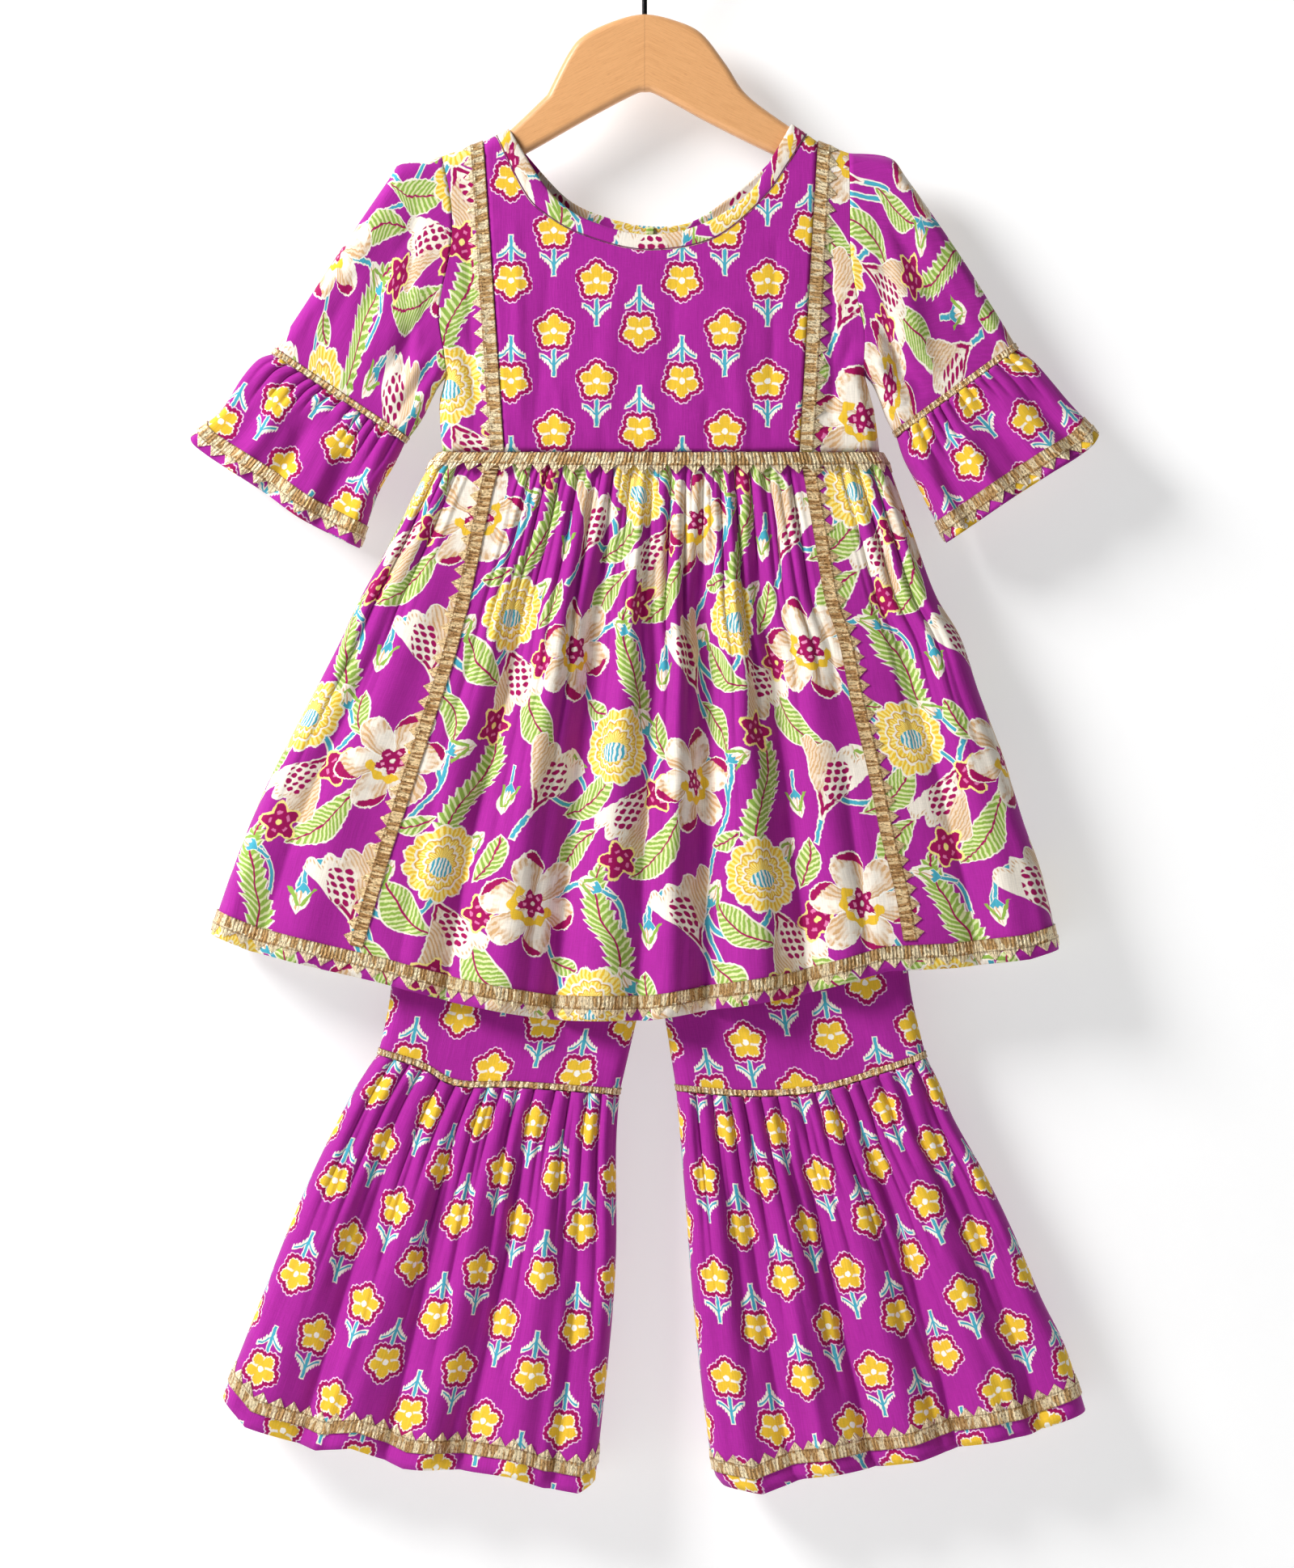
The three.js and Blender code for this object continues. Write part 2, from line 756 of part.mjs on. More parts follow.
// A flat tube: shares of the width from its outer edge over the front to the inner edge, and back behind
function tubeRows(shares, rowShares, place, depth) {
  return rowShares.map((v) => {
    const ring = [];
    const frontPlaces = shares.map((w, c) => ({ w, c, facing: front }));
    const backPlaces = shares.slice(1, -1).map((w, c) => ({ w, c: c + 1, facing: back })).reverse();
    for (const { w, c, facing } of [...frontPlaces, ...backPlaces]) {
      const point = place(w, v);
      ring.push(new THREE.Vector3(point.x, facing * depth(w, v, c, facing), point.z));
    }
    return ring;
  });
}

const SLEEVE_ROWS = [0, 0.05, 0.15, 0.35, 0.56, 0.78, 1];
const SLEEVE_FOLDS = [
  { at: 0.3, lean: 0.1, width: 0.12, height: -2.2, from: 0 },
  { at: 0.55, lean: -0.1, width: 0.1, height: 1.8, from: 0.1 },
  { at: 0.76, lean: 0.1, width: 0.09, height: -2.4, from: 0.2 },
];
const FRILL_COLUMNS = 14;
const FRILL_ROWS = [0, 0.12, 0.5, 1];
const FRILL_GATHER = 1.4;
const FRILL_WAVES = 3;
const FRILL_WAVE_HEIGHT = 2.6;
const FRILL_WAVE_START = { front: 0.1, back: 0.45 };
const FRILL_LACE_ABOVE_HEM = 14.5;
const RIBBON_WIDTH = 4;

for (const [name, side] of Object.entries(SIDES)) {
  const outer = curveThrough(side.sleeveOuter);
  const under = curveThrough(side.sleeveUnder);
  const cuffFrom = outer(1);
  const cuffTo = under(1);
  const across = acrossSeam(cuffFrom, cuffTo);
  const armEdge = shifted(armSide(side), side.sign * SEAM_HALF);
  const armhole = (w) => armEdge(w * UNDERARM_SHARE);
  const cuff = (w) => ({ x: mix(cuffFrom.x, cuffTo.x, w), z: mix(cuffFrom.z, cuffTo.z, w) });
  const outerFromArm = (v) => ({ x: outer(v).x + side.sign * SEAM_HALF * (1 - v), z: outer(v).z });
  const underFromArm = (v) => ({ x: under(v).x + side.sign * SEAM_HALF * (1 - v), z: under(v).z });
  const place = patch(armhole, cuff, outerFromArm, underFromArm);
  const depth = (w, v) => {
    if (w === 0 || w === 1) {
      return 0;
    }
    const point = place(w, v);
    const width = widthAcross(place, v);
    const edge = roundRise(w * width, EDGE_RADIUS) * roundRise((1 - w) * width, EDGE_RADIUS);
    const folds = foldHeight(SLEEVE_FOLDS, w, v) * (1 - smooth(0.5, 0.76, v));
    const full = mix(SLEEVE_DEPTH, CUFF_DEPTH, smooth(0.4, 1, v)) + folds;
    return mix(bodiceDepth(point.x, point.z), full * edge, smooth(0, 0.25, v));
  };
  const rows = tubeRows(ARMHOLE_SHARES, SLEEVE_ROWS, place, depth);
  const lock = edgeLock(rows.length, rows[0].length + 1, { top: X_AXIS, foot: across });
  const sleeve = new Sheet(rows, { closed: true, lock });
  addWall(`sleeve_${name}`, sleeve, CLOTH, PRINTED);

  const ribbonRows = [-RIBBON_WIDTH, -GAP].map((distance) => (
    rows[0].map((unused, c) => sleeve.at(sleeve.rowAt(c, distance), c, RIBBON_OUT))
  ));
  addWall(`cuff_ribbon_${name}`, new Sheet(ribbonRows, { closed: true }), RIBBON, GOLD);

  const down = across.clone().multiplyScalar(across.z < 0 ? GATHER_SEAM : -GATHER_SEAM);
  const frillTop = (w) => ({ x: cuff(w).x + down.x, z: cuff(w).z + down.z });
  const frillOuter = curveThrough(side.frillOuter);
  const frillInner = curveThrough(side.frillInner);
  const moved = (curve) => (v) => ({ x: curve(v).x + down.x * (1 - v), z: curve(v).z + down.z * (1 - v) });
  const frillPlace = patch(frillTop, curveThrough(side.frillHem), moved(frillOuter), moved(frillInner));
  const frillDepth = (w, v, c, facing) => {
    if (w === 0 || w === 1) {
      return 0;
    }
    const edge = roundRise(Math.min(w, 1 - w) * widthAcross(frillPlace, v), FRILL_EDGE_RADIUS);
    const gather = (c % 2 ? 1 : -1) * FRILL_GATHER * (1 - smooth(0, 0.5, v));
    const turn = FRILL_WAVES * w + (facing === front ? FRILL_WAVE_START.front : FRILL_WAVE_START.back);
    const wave = Math.cos(2 * Math.PI * turn) * FRILL_WAVE_HEIGHT * smooth(0.1, 0.5, v);
    return (mix(CUFF_DEPTH, FRILL_HEM_DEPTH, v) + gather + wave) * edge;
  };
  const frillRows = tubeRows(evenly(FRILL_COLUMNS), FRILL_ROWS, frillPlace, frillDepth);
  const frillLock = edgeLock(frillRows.length, frillRows[0].length + 1, { top: across });
  const frill = new Sheet(frillRows, { closed: true, lock: frillLock });
  addWall(`sleeve_frill_${name}`, frill, CLOTH, SPRIGGED);

  const columns = frillRows[0].map((unused, c) => c);
  const lacePoint = (c, down, out) => frill.at(frill.rowAt(c, down - FRILL_LACE_ABOVE_HEM), c, out);
  addLace(`frill_lace_${name}`, columns, lacePoint, LACE_OUT, { closed: true });
}

// Laces down the princess lines of the bodice, with their teeth outwards.
// Over the turn of the shoulder their stations follow the rows of the panel.
const SHOULDER_TURN = 13;
const LACE_START = 0.4;
for (const [name, side] of Object.entries(SIDES)) {
  const panel = sidePanels[name];
  const last = SIDE_COLUMNS.length - 1;
  const length = side.laceTop.z - side.laceFoot.z - 1;
  const teeth = Math.round(length / TOOTH_PITCH);
  const straight = length - SHOULDER_TURN;
  const first = panel.rowAt(last, SHOULDER_TURN);
  const turnRows = BODICE_ROWS.map((unused, r) => r).filter((r) => r > 0 && r < first - 0.1);
  const along = evenly(teeth).map((t) => panel.rowAt(last, SHOULDER_TURN + t * straight));
  const stations = [panel.rowAt(last, LACE_START), ...turnRows, ...along];
  const widthAt = (r) => panel.at(r, last, 0).distanceTo(panel.at(r, last - 1, 0));
  const lacePoint = (r, over, out) => panel.at(r, last - over / widthAt(r), out);
  addLace(`bodice_lace_${name}`, stations, lacePoint, LACE_OUT);
}

// Skirt

const SKIRT_COLUMNS = 52;
const SKIRT_ROWS = [0, 0.035, 0.11, 0.26, 0.5, 0.76, 1];
const SKIRT_GATHER = 1.5;
const SKIRT_LEFT = [
  { x: -129, z: WAIST_Z - SEAM_HALF },
  { x: -134, z: -341 },
  { x: -142.5, z: -356 },
  { x: -160.5, z: -392.5 },
  { x: -179, z: -427 },
  { x: -193, z: -457 },
  { x: -215.5, z: -500.5 },
  { x: -238.5, z: -546.5 },
  { x: -257, z: -592.5 },
  { x: -271, z: -633.5 },
];
const SKIRT_RIGHT = [
  { x: 146, z: WAIST_Z - SEAM_HALF },
  { x: 151, z: -345 },
  { x: 165.5, z: -385.5 },
  { x: 179, z: -422.5 },
  { x: 195, z: -450 },
  { x: 206.5, z: -484.5 },
  { x: 220.5, z: -521 },
  { x: 234, z: -564.5 },
  { x: 245.5, z: -597 },
  { x: 256, z: -643 },
];
const SKIRT_HEM = [
  SKIRT_LEFT[SKIRT_LEFT.length - 1],
  { x: -245.5, z: -644 },
  { x: -199.5, z: -655.5 },
  { x: -165, z: -663.5 },
  { x: -119.5, z: -676 },
  { x: -60, z: -687 },
  { x: 0, z: -687 },
  { x: 92, z: -672.5 },
  { x: 149, z: -656.5 },
  { x: 190.5, z: -654.5 },
  { x: 236.5, z: -649 },
  SKIRT_RIGHT[SKIRT_RIGHT.length - 1],
];
const SKIRT_FRONT_FOLDS = [
  { at: 0.06, lean: 0, width: 0.03, height: -3, from: 0.2 },
  { at: 0.105, lean: 0, width: 0.03, height: 2.5, from: 0.1 },
  { at: 0.235, lean: 0, width: 0.025, height: 2.5, from: 0.15 },
  { at: 0.28, lean: 0, width: 0.028, height: -4.5, from: 0.05 },
  { at: 0.345, lean: 0, width: 0.035, height: 3.5, from: 0.1 },
  { at: 0.408, lean: 0, width: 0.028, height: -7.5, from: 0.02 },
  { at: 0.46, lean: 0, width: 0.03, height: 3.5, from: 0.05 },
  { at: 0.505, lean: 0, width: 0.025, height: -3, from: 0.02 },
  { at: 0.545, lean: 0, width: 0.025, height: 3.5, from: 0.1 },
  { at: 0.585, lean: 0, width: 0.026, height: -8, from: 0.05 },
  { at: 0.635, lean: 0, width: 0.028, height: 3.5, from: 0.1 },
  { at: 0.695, lean: 0.02, width: 0.03, height: -5, from: 0.02 },
  { at: 0.75, lean: 0, width: 0.03, height: 3, from: 0.15 },
  { at: 0.905, lean: 0, width: 0.03, height: -4, from: 0.1 },
  { at: 0.95, lean: 0, width: 0.02, height: 2, from: 0.3 },
];
const SKIRT_BACK_FOLDS = [
  { at: 0.1, lean: 0, width: 0.03, height: -3.5, from: 0.1 },
  { at: 0.17, lean: 0, width: 0.03, height: 3, from: 0.1 },
  { at: 0.25, lean: 0, width: 0.03, height: -5, from: 0.05 },
  { at: 0.32, lean: 0, width: 0.03, height: 3.5, from: 0.1 },
  { at: 0.4, lean: 0, width: 0.03, height: -6.5, from: 0.05 },
  { at: 0.47, lean: 0, width: 0.03, height: 3, from: 0.1 },
  { at: 0.55, lean: 0, width: 0.03, height: -7, from: 0.02 },
  { at: 0.62, lean: 0, width: 0.03, height: 3.5, from: 0.1 },
  { at: 0.7, lean: 0, width: 0.03, height: -5.5, from: 0.05 },
  { at: 0.78, lean: 0, width: 0.03, height: 3, from: 0.1 },
  { at: 0.87, lean: 0, width: 0.03, height: -4, from: 0.1 },
];

// Where the side laces run down the skirt front: share across by share down. The cloth is smooth under them.
const SKIRT_LACES = {
  left: {
    direction: -1,
    course: [{ v: 0, u: 0.15 }, { v: 0.3, u: 0.187 }, { v: 0.7, u: 0.187 }, { v: 1, u: 0.175 }],
  },
  right: {
    direction: 1,
    course: [{ v: 0, u: 0.81 }, { v: 0.4, u: 0.803 }, { v: 1, u: 0.822 }],
  },
};
const SMOOTH_STRIPS = [{ from: 0.1, to: 0.19 }, { from: 0.8, to: 0.87 }];
const STRIP_FADE = 0.02;

function gatherShare(strips, u) {
  let share = 1;
  for (const strip of strips) {
    const after = smooth(strip.from - STRIP_FADE, strip.from, u);
    const before = 1 - smooth(strip.to, strip.to + STRIP_FADE, u);
    share = Math.min(share, 1 - after * before);
  }
  return share;
}

// One face of the skirt. Its gathers alternate from column to column, and the crest sheet lies over them all.
function skirtSheet(facing, { folds, strips, rise, crest }) {
  const hem = pathThrough(SKIRT_HEM);
  const raisedHem = (u) => ({ x: hem(u).x, z: hem(u).z + rise });
  const waist = pathThrough([SKIRT_LEFT[0], SKIRT_RIGHT[0]]);
  const place = patch(waist, raisedHem, curveThrough(SKIRT_LEFT), curveThrough(SKIRT_RIGHT));
  const grid = SKIRT_ROWS.map((v) => evenly(SKIRT_COLUMNS).map((u, c) => {
    const point = place(u, v);
    const width = place(1, v).x - place(0, v).x;
    const edge = roundRise(Math.min(u, 1 - u) * width, FULL_EDGE_RADIUS);
    const alternate = c % 2 ? 1 : -1;
    const height = crest ? 1 : alternate * gatherShare(strips, u);
    const gather = SKIRT_GATHER * height * (1 - smooth(0.08, 0.5, v));
    const body = mix(WAIST_DEPTH, SKIRT_HEM_DEPTH, v ** 0.8) + gather + foldHeight(folds, u, v);
    return new THREE.Vector3(point.x, facing * (SEAM_HALF + (body - SEAM_HALF) * edge), point.z);
  }));
  const lock = edgeLock(grid.length, SKIRT_COLUMNS + 1, { top: Z_AXIS, first: alwaysY, last: alwaysY });
  return new Sheet(grid, { facing, lock });
}

const HEM_LACE_ABOVE_HEM = 15.5;
const BACK_HEM_RISE = 3;
const skirtFaces = {
  front: { facing: front, folds: SKIRT_FRONT_FOLDS, strips: SMOOTH_STRIPS, rise: 0 },
  back: { facing: back, folds: SKIRT_BACK_FOLDS, strips: [], rise: BACK_HEM_RISE },
};
for (const [name, face] of Object.entries(skirtFaces)) {
  const sheet = skirtSheet(face.facing, { ...face, crest: false });
  face.sheet = sheet;
  addWall(`skirt_${name}`, sheet, CLOTH, PRINTED);

  const crests = skirtSheet(face.facing, { ...face, crest: true });
  const every = evenly(SKIRT_COLUMNS).map((unused, c) => c);
  const pairs = every.filter((c) => c % 2 === 0 || c === 1 || c === SKIRT_COLUMNS - 1);
  const waistPoint = (c, down, out) => crests.at(crests.rowAt(c, down + GAP), c, out);
  addLace(`waist_lace_${name}`, pairs, waistPoint, LACE_OUT);
  const hemPoint = (c, down, out) => sheet.at(sheet.rowAt(c, down - HEM_LACE_ABOVE_HEM), c, out);
  addLace(`hem_lace_${name}`, every, hemPoint, LACE_OUT);
}

// Laces down each side of the skirt front, from under the waist lace to just above the hem lace
const LACE_SPACE = { top: 2, foot: 3 };
for (const [name, { direction, course }] of Object.entries(SKIRT_LACES)) {
  const { sheet } = skirtFaces.front;
  const courseAt = (v) => {
    const next = Math.max(1, course.findIndex((row) => row.v >= v));
    const [from, to] = [course[next - 1], course[next]];
    return mix(from.u, to.u, (v - from.v) / (to.v - from.v));
  };
  const shareAt = (r) => {
    const low = Math.min(Math.floor(r), SKIRT_ROWS.length - 2);
    return mix(SKIRT_ROWS[low], SKIRT_ROWS[low + 1], r - low);
  };
  const middleColumn = Math.round(course[0].u * SKIRT_COLUMNS);
  const start = LACE_BAND + TOOTH + LACE_SPACE.top;
  const startRow = sheet.rowAt(middleColumn, start);
  const endRow = sheet.rowAt(middleColumn, -HEM_LACE_ABOVE_HEM - LACE_SPACE.foot);
  const drop = sheet.at(startRow, middleColumn, 0).distanceTo(sheet.at(endRow, middleColumn, 0));
  const teeth = Math.round(drop / TOOTH_PITCH);
  const stations = evenly(teeth).map((t) => sheet.rowAt(middleColumn, start + t * drop));
  const lacePoint = (r, over, out) => {
    const c = courseAt(shareAt(r)) * SKIRT_COLUMNS;
    const whole = Math.floor(c);
    const columnWidth = sheet.at(r, whole, 0).distanceTo(sheet.at(r, whole + 1, 0));
    return sheet.at(r, c + (direction * over) / columnWidth, out);
  };
  addLace(`skirt_lace_${name}`, stations, lacePoint, LACE_OUT);
}

// Gharara

const GHARARA_CENTRE_X = 1.5;
const WAISTBAND_TOP_Z = -425;
const WAISTBAND_HEIGHT = 22;
const WAISTBAND_THICKNESS = 2.4;
const WAISTBAND_COLUMNS = 20;
const WAISTBAND_PUCKER = 0.7;
const WAIST_HALF_WIDTH = 99;
const UPPER_TOP_Z = WAISTBAND_TOP_Z - WAISTBAND_HEIGHT;
const FLARE_COLUMNS = 26;
const UPPER_COLUMNS = [0, 1, 3, 8, 18, 23, 25, 26].map((column) => column / FLARE_COLUMNS);
const UPPER_ROWS = [0, 0.3, 0.57, 0.62, 0.8, 1];
const FLARE_ROWS = [0, 0.07, 0.26, 0.6, 1];
const FLARE_GATHER = 1.5;
const FLARE_LACE_ABOVE_HEM = 10.5;
const FLARE_LACE_LIFT = 0.25;

for (const [name, facing] of Object.entries({ front, back })) {
  const grid = evenly(1).map((v) => evenly(WAISTBAND_COLUMNS).map((u, c) => {
    const x = GHARARA_CENTRE_X + WAIST_HALF_WIDTH * (2 * u - 1);
    const edge = roundRise(Math.min(u, 1 - u) * 2 * WAIST_HALF_WIDTH, EDGE_RADIUS);
    const body = WAISTBAND_DEPTH + (c % 2 ? 1 : -1) * WAISTBAND_PUCKER;
    const z = WAISTBAND_TOP_Z - v * WAISTBAND_HEIGHT;
    return new THREE.Vector3(x, facing * (SEAM_HALF + (body - SEAM_HALF) * edge), z);
  }));
  const lock = edgeLock(grid.length, grid[0].length, {
    top: Z_AXIS,
    foot: Z_AXIS,
    first: alwaysY,
    last: alwaysY,
  });
  addWall(`gharara_waistband_${name}`, new Sheet(grid, { facing, lock }), WAISTBAND_THICKNESS, SPRIGGED);
}

const LEGS = {
  left: {
    sign: -1,
    outer: [
      { x: -97.5, z: UPPER_TOP_Z },
      { x: -125, z: -500 },
      { x: -145, z: -560 },
      { x: -155, z: -630 },
      { x: -160, z: -676 },
      { x: -167, z: -709 },
    ],
    inner: [
      { x: 1.5, z: UPPER_TOP_Z },
      { x: 1.5, z: CROTCH_Z },
      { x: -3, z: -672 },
      { x: -17.5, z: -734 },
    ],
    knee: [
      { x: -167, z: -709 },
      { x: -140, z: -717.5 },
      { x: -118, z: -728.5 },
      { x: -79, z: -729.5 },
      { x: -17.5, z: -734 },
    ],
    flareOuter: [
      { x: -167, z: -709 },
      { x: -174.5, z: -719.5 },
      { x: -187.5, z: -741.5 },
      { x: -213.5, z: -795.5 },
      { x: -239.5, z: -860.5 },
      { x: -263.5, z: -921.5 },
    ],
    flareInner: [
      { x: -17.5, z: -734 },
      { x: -19.5, z: -767.5 },
      { x: -19.5, z: -830.5 },
      { x: -23, z: -884.5 },
      { x: -32.5, z: -973.5 },
    ],
    hem: [
      { x: -263.5, z: -921.5 },
      { x: -248.5, z: -938.5 },
      { x: -205, z: -953 },
      { x: -183.5, z: -951.5 },
      { x: -151, z: -964.5 },
      { x: -118, z: -966 },
      { x: -85.5, z: -969 },
      { x: -64, z: -976.5 },
      { x: -42.5, z: -980 },
      { x: -32.5, z: -973.5 },
    ],
    folds: [
      { at: 0.12, lean: 0, width: 0.05, height: 2.5, from: 0.2 },
      { at: 0.22, lean: 0.02, width: 0.045, height: -3.5, from: 0.1 },
      { at: 0.34, lean: 0, width: 0.05, height: 3, from: 0.1 },
      { at: 0.44, lean: 0.03, width: 0.045, height: -4, from: 0.05 },
      { at: 0.55, lean: 0, width: 0.045, height: 3, from: 0.1 },
      { at: 0.66, lean: -0.03, width: 0.05, height: -5.5, from: 0 },
      { at: 0.78, lean: 0, width: 0.05, height: 3.5, from: 0.1 },
      { at: 0.88, lean: 0, width: 0.04, height: -2.5, from: 0.2 },
    ],
  },
  right: {
    sign: 1,
    outer: [
      { x: 100.5, z: UPPER_TOP_Z },
      { x: 128, z: -500 },
      { x: 149, z: -560 },
      { x: 160, z: -640 },
      { x: 165, z: -676 },
      { x: 173.5, z: -711 },
    ],
    inner: [
      { x: 1.5, z: UPPER_TOP_Z },
      { x: 1.5, z: CROTCH_Z },
      { x: 9, z: -672 },
      { x: 18.5, z: -731.5 },
    ],
    knee: [
      { x: 173.5, z: -711 },
      { x: 152, z: -718.5 },
      { x: 108.5, z: -731.5 },
      { x: 65, z: -735 },
      { x: 18.5, z: -731.5 },
    ],
    flareOuter: [
      { x: 173.5, z: -711 },
      { x: 182, z: -728 },
      { x: 191, z: -750 },
      { x: 210.5, z: -784.5 },
      { x: 227.5, z: -819.5 },
      { x: 245, z: -860.5 },
      { x: 260, z: -891 },
      { x: 272.5, z: -930 },
    ],
    flareInner: [
      { x: 18.5, z: -731.5 },
      { x: 24, z: -798 },
      { x: 28, z: -852 },
      { x: 34.5, z: -917 },
      { x: 41, z: -964.5 },
      { x: 46.5, z: -975.5 },
    ],
    hem: [
      { x: 272.5, z: -930 },
      { x: 238.5, z: -943 },
      { x: 195, z: -951.5 },
      { x: 169, z: -959.5 },
      { x: 130, z: -966 },
      { x: 97.5, z: -971 },
      { x: 71.5, z: -980 },
      { x: 46.5, z: -975.5 },
    ],
    folds: [
      { at: 0.1, lean: 0.06, width: 0.045, height: -4, from: 0 },
      { at: 0.22, lean: 0.06, width: 0.05, height: 3.5, from: 0.1 },
      { at: 0.33, lean: 0.05, width: 0.045, height: -5.5, from: 0 },
      { at: 0.45, lean: 0.04, width: 0.05, height: 3, from: 0.1 },
      { at: 0.57, lean: 0.02, width: 0.04, height: -5.5, from: 0 },
      { at: 0.68, lean: 0, width: 0.045, height: 3, from: 0.1 },
      { at: 0.79, lean: 0, width: 0.04, height: -3, from: 0.1 },
      { at: 0.9, lean: 0, width: 0.04, height: 2.5, from: 0.1 },
    ],
  },
};

const BACK_FOLD_SHIFT = 0.05;

for (const [name, leg] of Object.entries(LEGS)) {
  const crotch = leg.inner.slice(1);
  const innerCurve = pathThrough(leg.inner);
  const outerCurve = curveThrough(leg.outer);
  const crotchShare = (UPPER_TOP_Z - CROTCH_Z) / (UPPER_TOP_Z - leg.inner[3].z);
  const kneeCurve = curveThrough(leg.knee);
  const gapX = leg.sign * SEAM_HALF;
  const waist = (u) => ({ x: mix(leg.outer[0].x, leg.inner[0].x + gapX, u), z: UPPER_TOP_Z - GAP });
  const outerDown = (v) => ({ x: outerCurve(v).x, z: outerCurve(v).z - GAP * (1 - v) });
  const innerDown = (v) => ({ x: innerCurve(v).x + gapX, z: innerCurve(v).z - GAP * (1 - v) });
  // The seam is straight between the columns of the upper leg, and the flare follows it
  const kneeDown = (u) => {
    const next = Math.max(1, UPPER_COLUMNS.findIndex((column) => column >= u - 1e-9));
    const [from, to] = [UPPER_COLUMNS[next - 1], UPPER_COLUMNS[next]];
    const t = (u - from) / (to - from);
    const x = mix(kneeCurve(from).x, kneeCurve(to).x, t);
    return { x: x + gapX * u, z: mix(kneeCurve(from).z, kneeCurve(to).z, t) };
  };
  const place = patch(waist, kneeDown, outerDown, innerDown);
  const flareTop = (u) => ({ x: kneeDown(u).x, z: kneeDown(u).z - GATHER_SEAM });
  const flareSide = (curve, dx) => (v) => ({
    x: curve(v).x + dx * (1 - v),
    z: curve(v).z - GATHER_SEAM * (1 - v),
  });
  const flareOuter = flareSide(curveThrough(leg.flareOuter), 0);
  const flareInner = flareSide(curveThrough(leg.flareInner), gapX);
  const flarePlace = patch(flareTop, pathThrough(leg.hem), flareOuter, flareInner);
  for (const [faceName, facing] of Object.entries({ front, back })) {
    const grid = gridOf(UPPER_ROWS, UPPER_COLUMNS, (u, v) => {
      const point = place(u, v);
      const out = Math.hypot(point.x - place(0, v).x, point.z - place(0, v).z);
      const inwards = distanceTo(crotch, point.x - gapX, point.z);
      const edge = roundRise(out, EDGE_RADIUS) * roundRise(inwards, EDGE_RADIUS);
      return new THREE.Vector3(point.x, facing * (SEAM_HALF + (UPPER_DEPTH - SEAM_HALF) * edge), point.z);
    });
    const lock = edgeLock(grid.length, UPPER_COLUMNS.length, {
      top: Z_AXIS,
      foot: Z_AXIS,
      first: alwaysY,
      last: (r) => (UPPER_ROWS[r] < crotchShare ? X_AXIS : Y_AXIS),
    });
    const upper = new Sheet(grid, { facing, lock });
    addWall(`gharara_${faceName}_${name}`, upper, CLOTH, SPRIGGED);

    const ribbonRows = [-RIBBON_WIDTH, -GAP].map((distance) => (
      grid[0].map((unused, c) => upper.at(upper.rowAt(c, distance), c, RIBBON_OUT))
    ));
    const ribbonLock = edgeLock(3, grid[0].length, { first: alwaysY, last: alwaysY });
    const ribbon = new Sheet(ribbonRows, { facing, lock: ribbonLock });
    addWall(`knee_ribbon_${faceName}_${name}`, ribbon, RIBBON, GOLD);

    const shift = facing === front ? 0 : BACK_FOLD_SHIFT;
    const folds = leg.folds.map((fold) => ({ ...fold, at: fold.at + shift }));
    const flareGrid = FLARE_ROWS.map((v) => evenly(FLARE_COLUMNS).map((u, c) => {
      const point = flarePlace(u, v);
      const edge = roundRise(Math.min(u, 1 - u) * widthAcross(flarePlace, v), FULL_EDGE_RADIUS);
      const gather = (c % 2 ? 1 : -1) * FLARE_GATHER * (1 - smooth(0.1, 0.55, v));
      const body = mix(UPPER_DEPTH, FLARE_HEM_DEPTH, v ** 0.8) + gather + foldHeight(folds, u, v);
      return new THREE.Vector3(point.x, facing * (SEAM_HALF + (body - SEAM_HALF) * edge), point.z);
    }));
    const flareLock = edgeLock(flareGrid.length, FLARE_COLUMNS + 1, {
      top: Z_AXIS,
      first: alwaysY,
      last: alwaysY,
    });
    const flare = new Sheet(flareGrid, { facing, lock: flareLock });
    addWall(`flare_${faceName}_${name}`, flare, CLOTH, SPRIGGED);

    const every = evenly(FLARE_COLUMNS).map((unused, c) => c);
    const lacePoint = (c, up, out) => flare.at(flare.rowAt(c, -FLARE_LACE_ABOVE_HEM - up), c, out);
    addLace(`flare_lace_${faceName}_${name}`, every, lacePoint, LACE_OUT + FLARE_LACE_LIFT);
  }
}

// Hanger: a flat board with a hump, and a wire hook

const BOARD_UNDER_SHOULDER = 1.45;
const BOARD_OUTLINE = {
  hump: [
    { x: -62, z: -112 },
    { x: -49, z: -86.5 },
    { x: -39, z: -75 },
    { x: -20, z: -66 },
    { x: -1.5, z: BOARD_TOP_Z },
    { x: 18, z: -66 },
    { x: 34, z: -74 },
    { x: 49, z: -93 },
    { x: 62, z: -112 },
  ],
  shoulderRight: [86, 90, 97, 106, 125.5, 140],
  endRight: [{ x: 146, z: -158 }, { x: 147.5, z: -167 }, { x: 141, z: -174.5 }],
  under: [
    { x: 110, z: -163 },
    { x: 78.5, z: -149 },
    { x: 40, z: -130 },
    { x: 8, z: -112.5 },
    { x: -1, z: -110 },
    { x: -10, z: -112.5 },
    { x: -40, z: -128.5 },
    { x: -76.5, z: -149 },
    { x: -110, z: -164.5 },
  ],
  endLeft: [{ x: -141, z: -177 }, { x: -147.5, z: -170 }, { x: -147, z: -160.5 }],
  shoulderLeft: [-140, -127.5, -101.5, -93, -86],
};
const underShoulder = (x) => ({ x, z: heightAt(SHOULDER_LINE, x) - BOARD_UNDER_SHOULDER });

